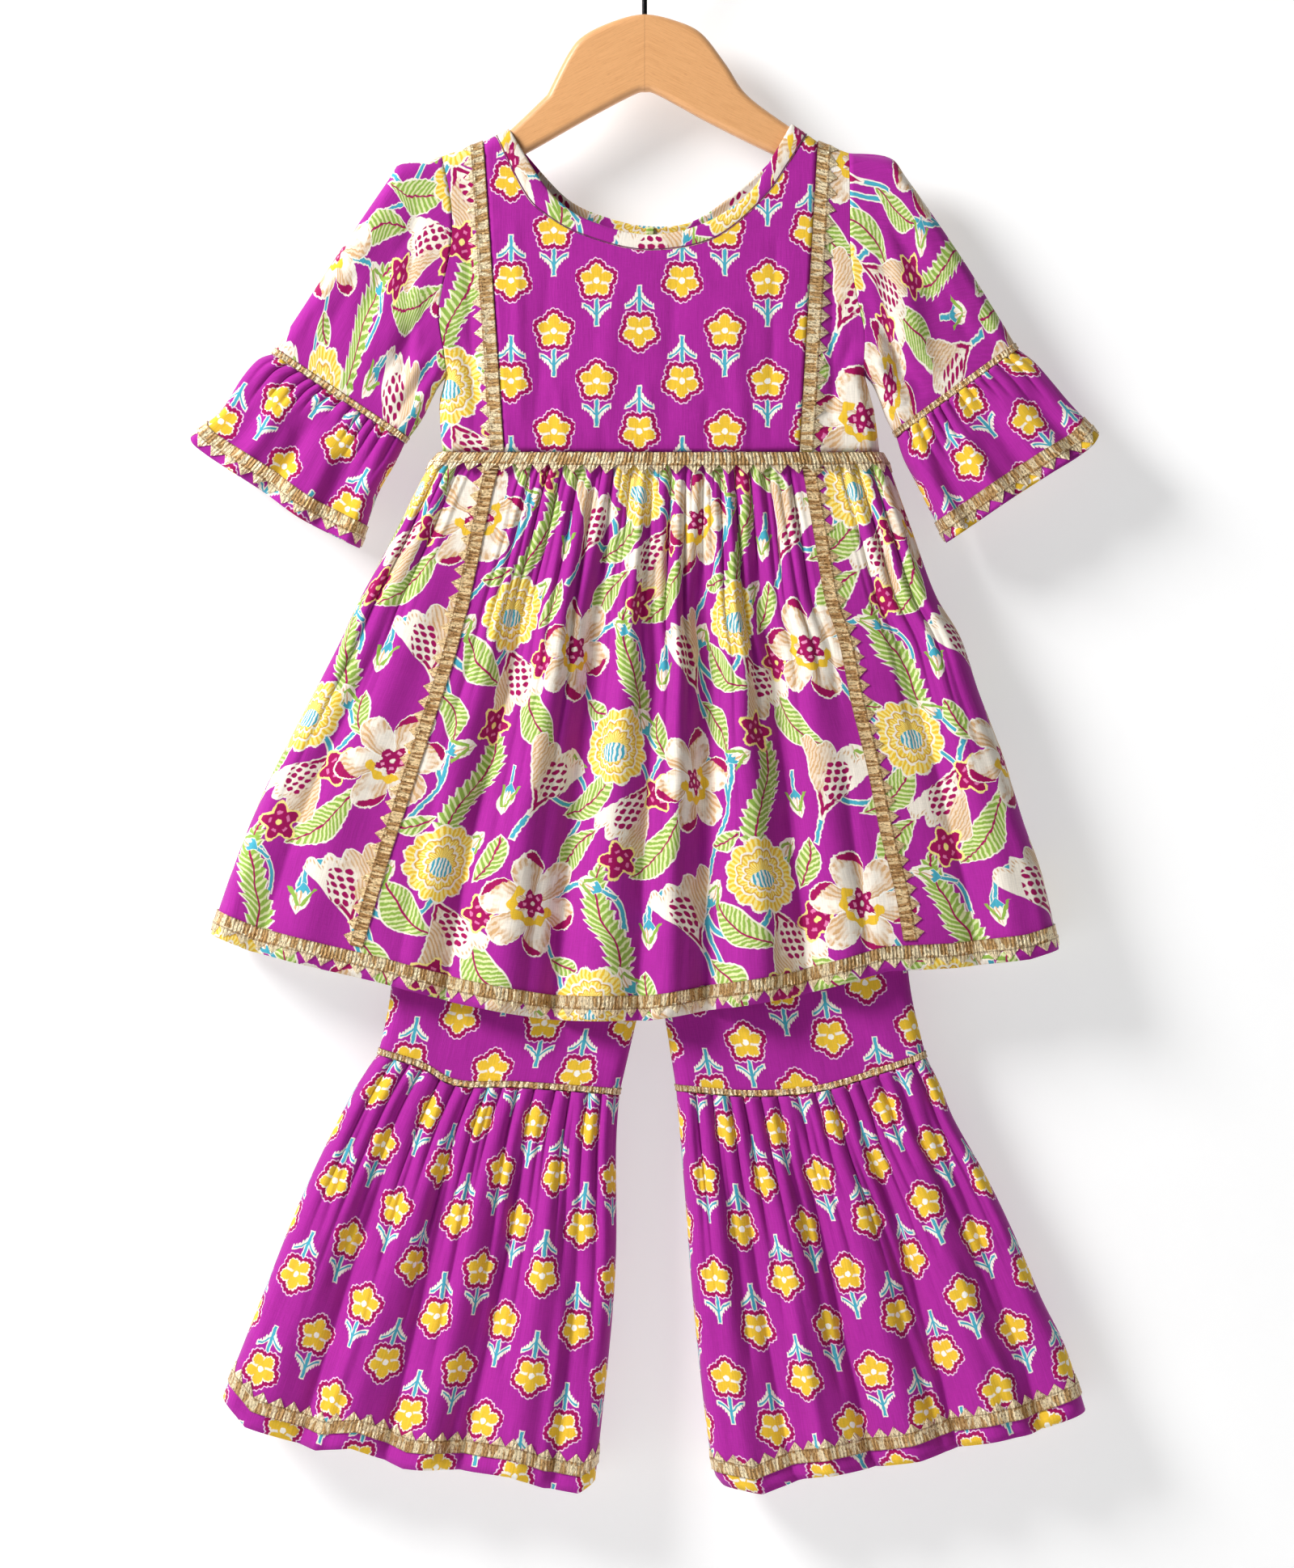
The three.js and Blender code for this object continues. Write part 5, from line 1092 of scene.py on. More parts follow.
for name, side in SIDES.items():
    sign = side["sign"]
    outer, under = curve(side["sleeve_outer"]), curve(side["sleeve_under"])
    cuff = straight([outer(1.0), under(1.0)])
    arm = moved(arm_side(side), sign * SEAM_HALF)
    place = patch(lambda w: arm(w * UNDERARM_SHARE), cuff, outer, under)

    def sleeve_depth(w, v, facing):
        points = place(w, v)
        width = across_width(place, v)
        edge = round_rise(w * width, EDGE_RADIUS) * round_rise((1 - w) * width, EDGE_RADIUS)
        x, z = points[..., 0], points[..., 1]
        lower = 6.0 if facing == BACK else 0.0
        relief = SLEEVE_CREASE_SCALE * creases_at(SLEEVE_CREASES, -np.abs(x), z + lower)
        full = lerp(SLEEVE_DEPTH, CUFF_DEPTH, smooth(0.4, 1, v))
        full = full + folds_at(SLEEVE_FOLDS, w, v) * (1 - smooth(0.5, 0.76, v))
        full = full + relief * (1 - smooth(0.75, 1, v))
        return lerp(bodice_depth(x, z), full * edge, smooth(0, 0.25, v))

    sleeve = tube(place, sleeve_depth, W, np.linspace(0, 1, SLEEVE_ROWS))
    turn = SLEEVE_TURN * sign
    places = flat_places(sleeve, None, (120.0 + 40 * sign, 70.0), turn)
    lay(f"sleeve_cloth_{name}", sleeve, places, FLORAL, f"sleeve_{name}")
    hosts[f"sleeve_{name}"] = sleeve

    hem, outer, inner = (curve(side[edge]) for edge in ("frill_hem", "frill_outer", "frill_inner"))
    frill_place = patch(cuff, hem, outer, inner)
    shift = 0.0 if sign < 0 else 0.35

    def frill_depth(w, v, facing):
        phase = FRILL_GATHERS * (w + 0.012 * np.sin(17 * w + shift)) + shift
        ridge = gathers(phase + (0.3 if facing == BACK else 0.0), 0.55)
        fade = 1 - smooth(0.02, 0.42 + 0.2 * np.sin(9 * w + 3 * shift), v)
        wave = np.cos(2 * math.pi * (FRILL_WAVES * w + (0.1 if facing == FRONT else 0.45)))
        small = np.cos(2 * math.pi * (7.3 * w + shift)) * 0.8 * smooth(0.2, 0.6, v)
        full = lerp(CUFF_DEPTH, FRILL_HEM_DEPTH, v) + FRILL_GATHER_HEIGHT * ridge * fade
        full = full + FRILL_WAVE_HEIGHT * wave * smooth(0.1, 0.5, v) + small
        return full * from_edges(frill_place, w, v, FRILL_EDGE)

    frill = tube(frill_place, frill_depth, FRILL_W, np.linspace(0, 1, FRILL_ROWS))
    places = flat_places(frill, FRILL_FLAT, (13.0, 8.0 * sign))
    lay(f"frill_{name}", frill, places, SPRIG, f"sleeve_frill_{name}")
    hosts[f"frill_{name}"] = frill

# Skirt

SKIRT_LEFT = [
    (-129, WAIST_Z - SEAM_HALF), (-134, -341), (-142.5, -356), (-160.5, -392.5), (-179, -427),
    (-193, -457), (-215.5, -500.5), (-238.5, -546.5), (-257, -592.5), (-271, -633.5),
]
SKIRT_RIGHT = [
    (146, WAIST_Z - SEAM_HALF), (151, -345), (165.5, -385.5), (179, -422.5), (195, -450), (206.5, -484.5),
    (220.5, -521), (234, -564.5), (245.5, -597), (256, -643),
]
SKIRT_HEM = [
    (-271, -633.5), (-245.5, -644), (-199.5, -655.5), (-165, -663.5), (-119.5, -676), (-60, -687),
    (0, -687), (92, -672.5), (149, -656.5), (190.5, -654.5), (236.5, -649), (256, -643),
]
# Broad folds: share across, lean, width, height, share down where they start
SKIRT_FOLDS = {
    FRONT: [
        (0.06, 0, 0.03, -3, 0.2), (0.105, 0, 0.03, 2.5, 0.1), (0.235, 0, 0.025, 2.5, 0.15),
        (0.28, 0, 0.028, -5.5, 0.05), (0.345, 0, 0.035, 4.5, 0.1), (0.408, 0, 0.03, -9.5, 0.02),
        (0.46, 0, 0.03, 4.5, 0.05), (0.505, 0, 0.025, -4, 0.02), (0.545, 0, 0.025, 4.5, 0.1),
        (0.585, 0, 0.028, -10, 0.05), (0.635, 0, 0.028, 4.5, 0.1), (0.695, 0.02, 0.03, -6.5, 0.02),
        (0.75, 0, 0.03, 3, 0.15), (0.905, 0, 0.03, -4, 0.1), (0.95, 0, 0.02, 2, 0.3),
    ],
    BACK: [
        (0.1, 0, 0.03, -3.5, 0.1), (0.17, 0, 0.03, 3, 0.1), (0.25, 0, 0.03, -5, 0.05),
        (0.32, 0, 0.03, 3.5, 0.1), (0.4, 0, 0.03, -6.5, 0.05), (0.47, 0, 0.03, 3, 0.1),
        (0.55, 0, 0.03, -7, 0.02), (0.62, 0, 0.03, 3.5, 0.1), (0.7, 0, 0.03, -5.5, 0.05),
        (0.78, 0, 0.03, 3, 0.1), (0.87, 0, 0.03, -4, 0.1),
    ],
}
# Narrow creases that run on below the gathers, in shares: u0, v0, u1, v1, width, height
SKIRT_CREASES = [
    (0.03, 0.05, 0.035, 0.5, 0.008, -1.2), (0.08, 0.02, 0.085, 0.55, 0.008, -1.3),
    (0.21, 0.02, 0.215, 0.6, 0.007, -1.5), (0.245, 0.02, 0.25, 0.42, 0.006, -1.2),
    (0.305, 0.02, 0.31, 0.75, 0.008, -1.8), (0.33, 0.02, 0.335, 0.4, 0.006, -1.0),
    (0.362, 0.02, 0.37, 0.6, 0.007, -1.6), (0.43, 0.02, 0.435, 0.7, 0.007, -1.5),
    (0.452, 0.02, 0.46, 0.4, 0.006, -1.1), (0.48, 0.02, 0.487, 0.55, 0.007, -1.6),
    (0.525, 0.02, 0.53, 0.75, 0.007, -1.7), (0.556, 0.02, 0.56, 0.5, 0.006, -1.3),
    (0.61, 0.02, 0.612, 0.7, 0.007, -1.7), (0.638, 0.02, 0.64, 0.45, 0.006, -1.2),
    (0.662, 0.02, 0.668, 0.65, 0.007, -1.6), (0.722, 0.02, 0.73, 0.6, 0.007, -1.5),
    (0.755, 0.02, 0.765, 0.45, 0.006, -1.3), (0.785, 0.02, 0.79, 0.5, 0.006, -1.2),
    (0.88, 0.02, 0.885, 0.6, 0.008, -1.5), (0.93, 0.02, 0.94, 0.55, 0.008, -1.3),
    (0.965, 0.05, 0.97, 0.6, 0.007, -1.0), (0.13, 0.6, 0.128, 1.05, 0.012, 1.4),
    (0.37, 0.55, 0.375, 1.05, 0.012, -1.6), (0.56, 0.6, 0.553, 1.05, 0.012, -1.4),
    (0.66, 0.5, 0.655, 1.05, 0.014, 1.6), (0.78, 0.6, 0.775, 1.05, 0.012, -1.5),
    (0.22, 0.6, 0.223, 1.05, 0.012, -1.4),
]
SMOOTH_STRIPS = [(0.1, 0.19), (0.8, 0.87)]
SKIRT_GATHERS = 27
FINE_GATHERS = 41
SKIRT_COLUMNS = 430
SKIRT_SHARES = np.linspace(0, 1, 66) ** 1.25
PANEL_EDGE = EDGE_RADIUS * 1.4
SKIRT_GATHER_HEIGHT = 3.2
SKIRT_FLAT = 560.0
BACK_HEM_RISE = 3.0
HEM_LACE_ABOVE_HEM = 15.5


def skirt_cloth(facing, crest=False):
    hem = moved(straight(SKIRT_HEM), 0.0, BACK_HEM_RISE if facing == BACK else 0.0)
    waist = straight([SKIRT_LEFT[0], SKIRT_RIGHT[0]])
    place = patch(waist, hem, curve(SKIRT_LEFT), curve(SKIRT_RIGHT))
    u = np.linspace(0, 1, SKIRT_COLUMNS)[None]
    v = SKIRT_SHARES[:, None]
    points = place(u, v)
    share = 1.0
    if facing == FRONT:
        for start, end in SMOOTH_STRIPS:
            share = np.minimum(share, 1 - smooth(start - 0.02, start, u) * (1 - smooth(end, end + 0.02, u)))
    phase = SKIRT_GATHERS * (u + 0.006 * np.sin(19 * u + 1) + 0.003 * np.sin(47 * u))
    ridge = gathers(phase + (0.4 if facing == BACK else 0))
    fade = 1 - smooth(0.1, 0.62 + 0.16 * np.sin(23 * u) + 0.12 * np.sin(61 * u), v)
    narrow = gathers(FINE_GATHERS * u + 0.5 * np.sin(31 * u + facing), 0.55)
    start = 1 - smooth(0.0, 0.16 + 0.06 * np.sin(37 * u), v)
    gather = 1.0 if crest else lerp(ridge, 0.5 * (ridge + narrow), start) * share
    gather = SKIRT_GATHER_HEIGHT * gather * fade
    across = (u if facing == FRONT else 1 - u) + 0 * v
    relief = CREASE_SCALE * creases_at(SKIRT_CREASES, across, v + 0 * u) * share
    body = lerp(WAIST_DEPTH, SKIRT_HEM_DEPTH, v ** 0.8) + gather + folds_at(SKIRT_FOLDS[facing], u, v)
    if not crest:
        body = kept_above(body + relief, lerp(3.0, 9.8, smooth(0.14, 0.24, v)))
    depth = off_seam(body, from_edges(place, u, v, PANEL_EDGE))
    return Cloth(points[..., 0], depth, points[..., 1], facing)


for name, facing in FACES.items():
    cloth = skirt_cloth(facing)
    hosts[f"skirt_{name}"] = cloth
    places = flat_places(cloth, SKIRT_FLAT, (0.0, 0.0) if facing == FRONT else (40.0, 30.0))
    lay(f"skirt_cloth_{name}", cloth, places, FLORAL, f"skirt_{name}")

# Gharara

GHARARA_CENTRE_X = 1.5
WAISTBAND_TOP_Z = -425.0
WAISTBAND_HEIGHT = 22.0
WAISTBAND = 2.0
WAISTBAND_FLAT = 260.0
WAISTBAND_PUCKER = 0.56
WAIST_HALF_WIDTH = 99.0
UPPER_TOP_Z = WAISTBAND_TOP_Z - WAISTBAND_HEIGHT
FLARE_FLAT = 275.0
FLARE_GATHERS = 15
FLARE_GATHER_HEIGHT = 2.9
FLARE_COLUMNS = 220
FLARE_SHARES = np.linspace(0, 1, 52) ** 1.15
UPPER_GRID = (70, 64)
WAISTBAND_GRID = (170, 12)

LEGS = {
    "left": {
        "sign": -1,
        "outer": [(-97.5, UPPER_TOP_Z), (-125, -500), (-145, -560), (-155, -630), (-160, -676), (-167, -709)],
        "inner": [(1.5, UPPER_TOP_Z), (1.5, CROTCH_Z), (-3, -672), (-17.5, -734)],
        "knee": [(-167, -709), (-140, -717.5), (-118, -728.5), (-79, -729.5), (-17.5, -734)],
        "flare_outer": [
            (-167, -709), (-174.5, -719.5), (-187.5, -741.5), (-213.5, -795.5), (-239.5, -860.5),
            (-263.5, -921.5),
        ],
        "flare_inner": [(-17.5, -734), (-19.5, -767.5), (-19.5, -830.5), (-23, -884.5), (-32.5, -973.5)],
        "hem": [
            (-263.5, -921.5), (-248.5, -938.5), (-205, -953), (-183.5, -951.5), (-151, -964.5),
            (-118, -966), (-85.5, -969), (-64, -976.5), (-42.5, -980), (-32.5, -973.5),
        ],
        "folds": [
            (0.12, 0, 0.05, 2.5, 0.2), (0.22, 0.02, 0.045, -3.5, 0.1), (0.34, 0, 0.05, 3, 0.1),
            (0.44, 0.03, 0.045, -4, 0.05), (0.55, 0, 0.045, 3, 0.1), (0.66, -0.03, 0.05, -5.5, 0),
            (0.78, 0, 0.05, 3.5, 0.1), (0.88, 0, 0.04, -2.5, 0.2),
        ],
        "creases": [
            (0.08, 0.03, 0.1, 0.5, 0.012, -1.2), (0.17, 0.02, 0.18, 0.6, 0.012, -1.4),
            (0.29, 0.02, 0.3, 0.7, 0.014, -1.7), (0.39, 0.02, 0.41, 0.55, 0.012, -1.5),
            (0.5, 0.02, 0.52, 0.8, 0.014, -1.8), (0.6, 0.02, 0.61, 0.6, 0.012, -1.5),
            (0.72, 0.02, 0.71, 0.75, 0.014, -1.8), (0.83, 0.02, 0.83, 0.5, 0.012, -1.3),
            (0.93, 0.02, 0.94, 0.7, 0.012, -1.2), (0.3, 0.5, 0.27, 1.05, 0.02, 1.6),
            (0.62, 0.55, 0.6, 1.05, 0.02, -1.8), (0.85, 0.5, 0.86, 1.05, 0.02, 1.6),
        ],
    },
    "right": {
        "sign": 1,
        "outer": [(100.5, UPPER_TOP_Z), (128, -500), (149, -560), (160, -640), (165, -676), (173.5, -711)],
        "inner": [(1.5, UPPER_TOP_Z), (1.5, CROTCH_Z), (9, -672), (18.5, -731.5)],
        "knee": [(173.5, -711), (152, -718.5), (108.5, -731.5), (65, -735), (18.5, -731.5)],
        "flare_outer": [
            (173.5, -711), (182, -728), (191, -750), (210.5, -784.5), (227.5, -819.5), (245, -860.5),
            (260, -891), (272.5, -930),
        ],
        "flare_inner": [(18.5, -731.5), (24, -798), (28, -852), (34.5, -917), (41, -964.5), (46.5, -975.5)],
        "hem": [
            (272.5, -930), (238.5, -943), (195, -951.5), (169, -959.5), (130, -966), (97.5, -971),
            (71.5, -980), (46.5, -975.5),
        ],
        "folds": [
            (0.1, 0.06, 0.045, -4, 0), (0.22, 0.06, 0.05, 3.5, 0.1), (0.33, 0.05, 0.045, -5.5, 0),
            (0.45, 0.04, 0.05, 3, 0.1), (0.57, 0.02, 0.04, -5.5, 0), (0.68, 0, 0.045, 3, 0.1),
            (0.79, 0, 0.04, -3, 0.1), (0.9, 0, 0.04, 2.5, 0.1),
        ],
        "creases": [
            (0.05, 0.02, 0.04, 0.55, 0.012, -1.2), (0.15, 0.02, 0.13, 0.7, 0.014, -1.7),
            (0.25, 0.02, 0.24, 0.5, 0.012, -1.4), (0.38, 0.02, 0.36, 0.75, 0.014, -1.8),
            (0.5, 0.02, 0.49, 0.55, 0.012, -1.5), (0.62, 0.02, 0.62, 0.8, 0.014, -1.8),
            (0.73, 0.02, 0.73, 0.6, 0.012, -1.4), (0.84, 0.02, 0.85, 0.7, 0.012, -1.5),
            (0.94, 0.02, 0.95, 0.5, 0.012, -1.1), (0.2, 0.5, 0.17, 1.05, 0.02, 1.6),
            (0.4, 0.55, 0.39, 1.05, 0.02, -1.8), (0.7, 0.5, 0.7, 1.05, 0.02, 1.6),
        ],
    },
}
UPPER_CREASES = [
    (-120, -640, -130, -715, 6, -0.8), (-60, -650, -66, -728, 6, 0.8), (-90, -660, -98, -726, 5, -0.8),
    (-30, -660, -40, -726, 5, -0.7), (-152, -660, -150, -712, 5, 0.7), (-20, -640, -70, -720, 6, -0.7),
]
BACK_FOLD_SHIFT = 0.05

for name, facing in FACES.items():
    u = np.linspace(0, 1, WAISTBAND_GRID[0])[None]
    v = np.linspace(0, 1, WAISTBAND_GRID[1])[:, None]
    x = GHARARA_CENTRE_X + WAIST_HALF_WIDTH * (2 * u - 1) + 0 * v
    z = WAISTBAND_TOP_Z - v * WAISTBAND_HEIGHT + 0 * u
    edge = round_rise(np.minimum(u, 1 - u) * 2 * WAIST_HALF_WIDTH, EDGE_RADIUS)
    pucker = np.cos(2 * math.pi * (14 * u + 0.1 * np.sin(13 * u))) * (0.5 + np.abs(np.sin(math.pi * 3 * v)))
    body = WAISTBAND_DEPTH + WAISTBAND_PUCKER * pucker
    cloth = Cloth(x, off_seam(body, edge) + 0 * v, z, facing)
    places = flat_places(cloth, WAISTBAND_FLAT, (13.0, 20.0))
    node = f"gharara_waistband_{name}"
    lay(f"waistband_{name}", cloth, places, SPRIG, node, WAISTBAND)

for name, leg in LEGS.items():
    sign = leg["sign"]
    knee = curve(leg["knee"])
    top = straight([leg["outer"][0], leg["inner"][0]])
    gap = sign * SEAM_HALF
    upper_place = patch(top, knee, curve(leg["outer"]), moved(straight(leg["inner"]), gap))
    flare_place = patch(knee, straight(leg["hem"]), curve(leg["flare_outer"]), curve(leg["flare_inner"]))
    crotch = leg["inner"][1:]
    for face, facing in FACES.items():
        u = close_at_edges(UPPER_GRID[0])[None]
        v = np.linspace(0, 1, UPPER_GRID[1])[:, None]
        points = upper_place(u, v)
        x, z = points[..., 0], points[..., 1]
        out = np.linalg.norm(points - upper_place(0.0 * u, v), axis=-1)
        edge = round_rise(out, EDGE_RADIUS) * round_rise(distance_to(crotch, x - gap, z), EDGE_RADIUS)
        relief = creases_at(UPPER_CREASES, -np.abs(x), z)
        cloth = Cloth(x, off_seam(UPPER_DEPTH + relief, edge), z, facing)
        hosts[f"upper_{face}_{name}"] = cloth
        places = flat_places(cloth, None, (14.0 - sign * 4.0, 6.0 * sign))
        node = f"gharara_{face}_{name}"
        lay(f"upper_{face}_{name}", cloth, places, SPRIG, node)

        u = np.linspace(0, 1, FLARE_COLUMNS)[None]
        v = FLARE_SHARES[:, None]
        points = flare_place(u, v)
        shift = 0.0 if facing == FRONT else BACK_FOLD_SHIFT
        phase = FLARE_GATHERS * (u + 0.008 * np.sin(15 * u + sign) + 0.004 * np.sin(41 * u)) + shift * 9
        ridge = gathers(phase)
        fade = 1 - smooth(0.08, 0.6 + 0.18 * np.sin(21 * u + sign) + 0.1 * np.sin(52 * u), v)
        folds = [(at + shift, *rest) for at, *rest in leg["folds"]]
        body = lerp(UPPER_DEPTH, FLARE_HEM_DEPTH, v ** 0.8) + FLARE_GATHER_HEIGHT * ridge * fade
        body = body + folds_at(folds, u, v)
        relief = CREASE_SCALE * creases_at(leg["creases"], u + shift + 0 * v, v + 0 * u)
        body = kept_above(body + relief, LEAST_DEPTH)
        depth = off_seam(body, from_edges(flare_place, u, v, PANEL_EDGE))
        cloth = Cloth(points[..., 0], depth, points[..., 1], facing)
        hosts[f"flare_{face}_{name}"] = cloth
        places = flat_places(cloth, FLARE_FLAT, (9.0 * sign, 21.0))
        lay(f"flare_cloth_{face}_{name}", cloth, places, SPRIG, f"flare_{face}_{name}")


# Gold trims

LACE_OUT = 0.75
LACE_STEP = 1.35
PLEAT = 4.8
FRILL_LACE_ABOVE_HEM = 14.5
FLARE_LACE_ABOVE_HEM = 10.5
BODICE_LACE_GAPS = (0.4, 1.0)
SHARP_EDGE = 40
RIBBON_WIDTH = 4.2


def pleats(along, across):
    """Relief of the gold band: shallow overlapping pleats and a raised cord by each edge."""
    step = along / PLEAT + 0.18 * np.sin(along * 0.13)
    share = step - np.floor(step)
    tilt = np.sin(np.floor(step) * 2.4) * 0.2 + 0.3
    relief = tilt * (1 - np.minimum(share * 1.15, (1 - share) * 8))
    cord = np.exp(-((across - 0.7) / 0.45) ** 2) + np.exp(-((across - LACE_BAND + 0.7) / 0.45) ** 2)
    return relief + 0.18 * cord + 0.06 * np.sin(along * 2.9 + across * 0.8)


BAND_ROWS = [0.0, 0.5, 1.2, 2.8, 4.0, 5.2, 6.8, 7.5, LACE_BAND]
TOOTH_ROWS = [LACE_BAND - 1.2, LACE_BAND, LACE_BAND + 1.8, LACE_BAND + 3.6, LACE_BAND + TOOTH]
TOOTH_WIDTHS = [1.0, 1.0, 0.68, 0.35, 0.05]
TOOTH_COLUMNS = np.linspace(-1, 1, 7)


def lace(name, place, run, teeth, nodes, material=GOLD, closed=False):
    """A toothed lace. place(share, across, out) gives its points. Each tooth is a folded point of ribbon."""
    share = np.linspace(0, 1, int(run / LACE_STEP), endpoint=not closed)
    s, a = np.meshgrid(share, BAND_ROWS)
    relief = pleats(s * run, a)
    outer = place(s, a, LACE_OUT + 0.25 + relief)
    inner = place(s, a, LACE_OUT - 0.2)
    s_uv, a_uv = np.meshgrid(np.append(share, 1.0), BAND_ROWS) if closed else (s, a)
    parts = [shell(outer, inner, np.stack([s_uv * run, a_uv], axis=-1), closed)]
    k, w = np.meshgrid(TOOTH_COLUMNS, TOOTH_WIDTHS)
    _, a = np.meshgrid(TOOTH_COLUMNS, TOOTH_ROWS)
    for i in range(teeth):
        lean = 0.08 * math.sin(i * 2.1)
        s = (i + 0.5 + k * w * 0.48 + lean * (1 - w)) / teeth
        ridge = 1.1 * (1 - np.abs(k)) * (0.35 + 0.65 * w) + 0.15 * np.sin(i * 3.7) * k
        outer = place(s, a, LACE_OUT + 0.12 + ridge)
        inner = place(s, a, LACE_OUT - 0.25)
        parts.append(shell(outer, inner, np.stack([s * run + 40, a], axis=-1)))
    made = mesh_piece(name, parts, material, "gold_lace", *nodes)
    made.data.set_sharp_from_angle(angle=math.radians(SHARP_EDGE))


def hem_placer(cloth, above, upward=False):
    """Places for a lace that lies along a hem. Its teeth point down, or up towards the seam."""
    columns, run = cloth.columns_along(-1, 400)
    shares = np.linspace(0, 1, len(columns))

    def place(share, across, out):
        c = np.interp(share, shares, columns)
        return cloth.at(cloth.row_at(c, (-across if upward else across) - above), c, out)

    return place, run


for name, side in SIDES.items():
    panel = hosts[f"bodice_front_{name}"]
    last = panel.points.shape[1] - 1
    run = panel.down[-1, last] - sum(BODICE_LACE_GAPS)

    def down_seam(share, across, out):
        drop = BODICE_LACE_GAPS[0] + share * run
        r = np.interp(drop, panel.down[:, last], np.arange(panel.points.shape[0]))
        near = panel.points[np.clip(np.floor(r).astype(int), 0, panel.points.shape[0] - 1)]
        steps = np.linalg.norm(np.diff(near[..., ::-1, :], axis=-2), axis=-1)
        reach = np.concatenate([np.zeros((*steps.shape[:-1], 1)), np.cumsum(steps, axis=-1)], axis=-1)
        c = np.empty(np.shape(share))
        for i in np.ndindex(c.shape):
            c[i] = last - np.interp(across[i], reach[i], np.arange(last + 1))
        return panel.at(r, c, out)

    lace(f"lace_bodice_{name}", down_seam, run, 20, [f"bodice_lace_{name}"])
    place, run = hem_placer(hosts[f"frill_{name}"], FRILL_LACE_ABOVE_HEM)
    lace(f"lace_frill_{name}", place, run, 27, [f"frill_lace_{name}"], closed=True)

for face, facing in FACES.items():
    crests = skirt_cloth(facing, crest=True)
    columns, run = crests.columns_along(4, 300)
    shares = np.linspace(0, 1, len(columns))

    def at_waist(share, across, out):
        c = np.interp(share, shares, columns)
        return crests.at(crests.row_at(c, across + 0.3), c, out)

    lace(f"lace_waist_{face}", at_waist, run, 29, [f"waist_lace_{face}"])
    place, run = hem_placer(hosts[f"skirt_{face}"], HEM_LACE_ABOVE_HEM)
    lace(f"lace_hem_{face}", place, run, 58, [f"hem_lace_{face}"])

# How many columns the distance across the skirt is measured over
SPAN = 8
SKIRT_LACES = {
    "left": (-1, [(0, 0.15), (0.3, 0.187), (0.7, 0.187), (1, 0.175)]),
    "right": (1, [(0, 0.81), (0.4, 0.803), (1, 0.822)]),
}
for name, (direction, course) in SKIRT_LACES.items():
    sheet = hosts["skirt_front"]
    rows = np.arange(sheet.points.shape[0])
    last_column = sheet.points.shape[1] - 1
    middle_column = int(course[0][1] * last_column)
    first = float(sheet.row_at(middle_column, LACE_BAND - 1.5))
    final = float(sheet.row_at(middle_column, -HEM_LACE_ABOVE_HEM - 3))
    lengths = sheet.down[:, middle_column]
    begin, end = np.interp([first, final], rows, lengths)

    def down_skirt(share, across, out):
        r = np.interp(lerp(begin, end, share), lengths, rows)
        v = np.interp(r, rows, SKIRT_SHARES)
        c = np.interp(v, *np.array(course, float).T) * last_column
        near = np.clip(r.astype(int), 0, rows[-1])
        whole = np.clip(c.astype(int), 0, last_column - SPAN)
        reach = np.linalg.norm(sheet.points[near, whole + SPAN] - sheet.points[near, whole], axis=-1)
        return sheet.at(r, c + direction * across * SPAN / reach, out)

    lace(f"lace_skirt_{name}", down_skirt, end - begin, 33, [f"skirt_lace_{name}"], material=OLD_GOLD)

for name in LEGS:
    for face in FACES:
        place, run = hem_placer(hosts[f"flare_{face}_{name}"], FLARE_LACE_ABOVE_HEM, upward=True)
        lace(f"lace_flare_{face}_{name}", place, run, 27, [f"flare_lace_{face}_{name}"])


def ribbon(name, cloth, nodes):
    """A narrow gold ribbon with two cords, sewn down over a seam."""
    closed = cloth.closed
    columns, run = cloth.columns_along(-1, 200)
    if closed:
        columns = columns[:-1]
    across = np.linspace(0, RIBBON_WIDTH, 8)
    c, a = np.meshgrid(columns, across)
    r = cloth.row_at(c, a - RIBBON_WIDTH - 0.2)
    along = c / columns[-1] * run
    cords = np.exp(-((a - 0.8) / 0.5) ** 2) + np.exp(-((a - RIBBON_WIDTH + 0.8) / 0.5) ** 2)
    relief = 0.45 * cords + 0.08 * np.sin(along * 2.3) + 0.1 * np.sin(along * 0.7)
    outer = cloth.at(r, c, 0.85 + relief)
    inner = cloth.at(r, c, 0.45)
    if closed:
        along = np.hstack([along, np.full((len(across), 1), run)])
        a = np.hstack([a, a[:, :1]])
    parts = [shell(outer, inner, np.stack([along, a], axis=-1), closed)]
    made = mesh_piece(name, parts, GOLD_RIBBON, "gold_ribbon", *nodes)


for name in SIDES:
    ribbon(f"ribbon_cuff_{name}", hosts[f"sleeve_{name}"], [f"cuff_ribbon_{name}"])
for name in LEGS:
    for face in FACES:
        ribbon(f"ribbon_knee_{face}_{name}", hosts[f"upper_{face}_{name}"], [f"knee_ribbon_{face}_{name}"])

# Hanger: a flat board with rounded edges, and its wire hook

BOARD_HALF = 6.0
BOARD_BEVEL = 4.0
UNDER_SHOULDER = 1.45
WIRE_RADIUS = 1.6
CROOK_RADIUS = 18.5
SHANK_X = -1.5


def under_shoulder(x):
    return (x, float(shoulder_z(x)) - UNDER_SHOULDER)


BOARD = [
    (-62, -112), (-49, -86.5), (-39, -75), (-20, -66), (-1.5, -62), (18, -66), (34, -74), (49, -93),
    (62, -112),
    *[under_shoulder(x) for x in (86, 90, 97, 106, 125.5, 140)],
    (146, -158), (147.5, -167), (141, -174.5), (110, -163), (78.5, -149), (40, -130), (8, -112.5),
    (-1, -110), (-10, -112.5), (-40, -128.5), (-76.5, -149), (-110, -164.5), (-141, -177), (-147.5, -170),
    (-147, -160.5),
    *[under_shoulder(x) for x in (-140, -127.5, -101.5, -93, -86)],
]


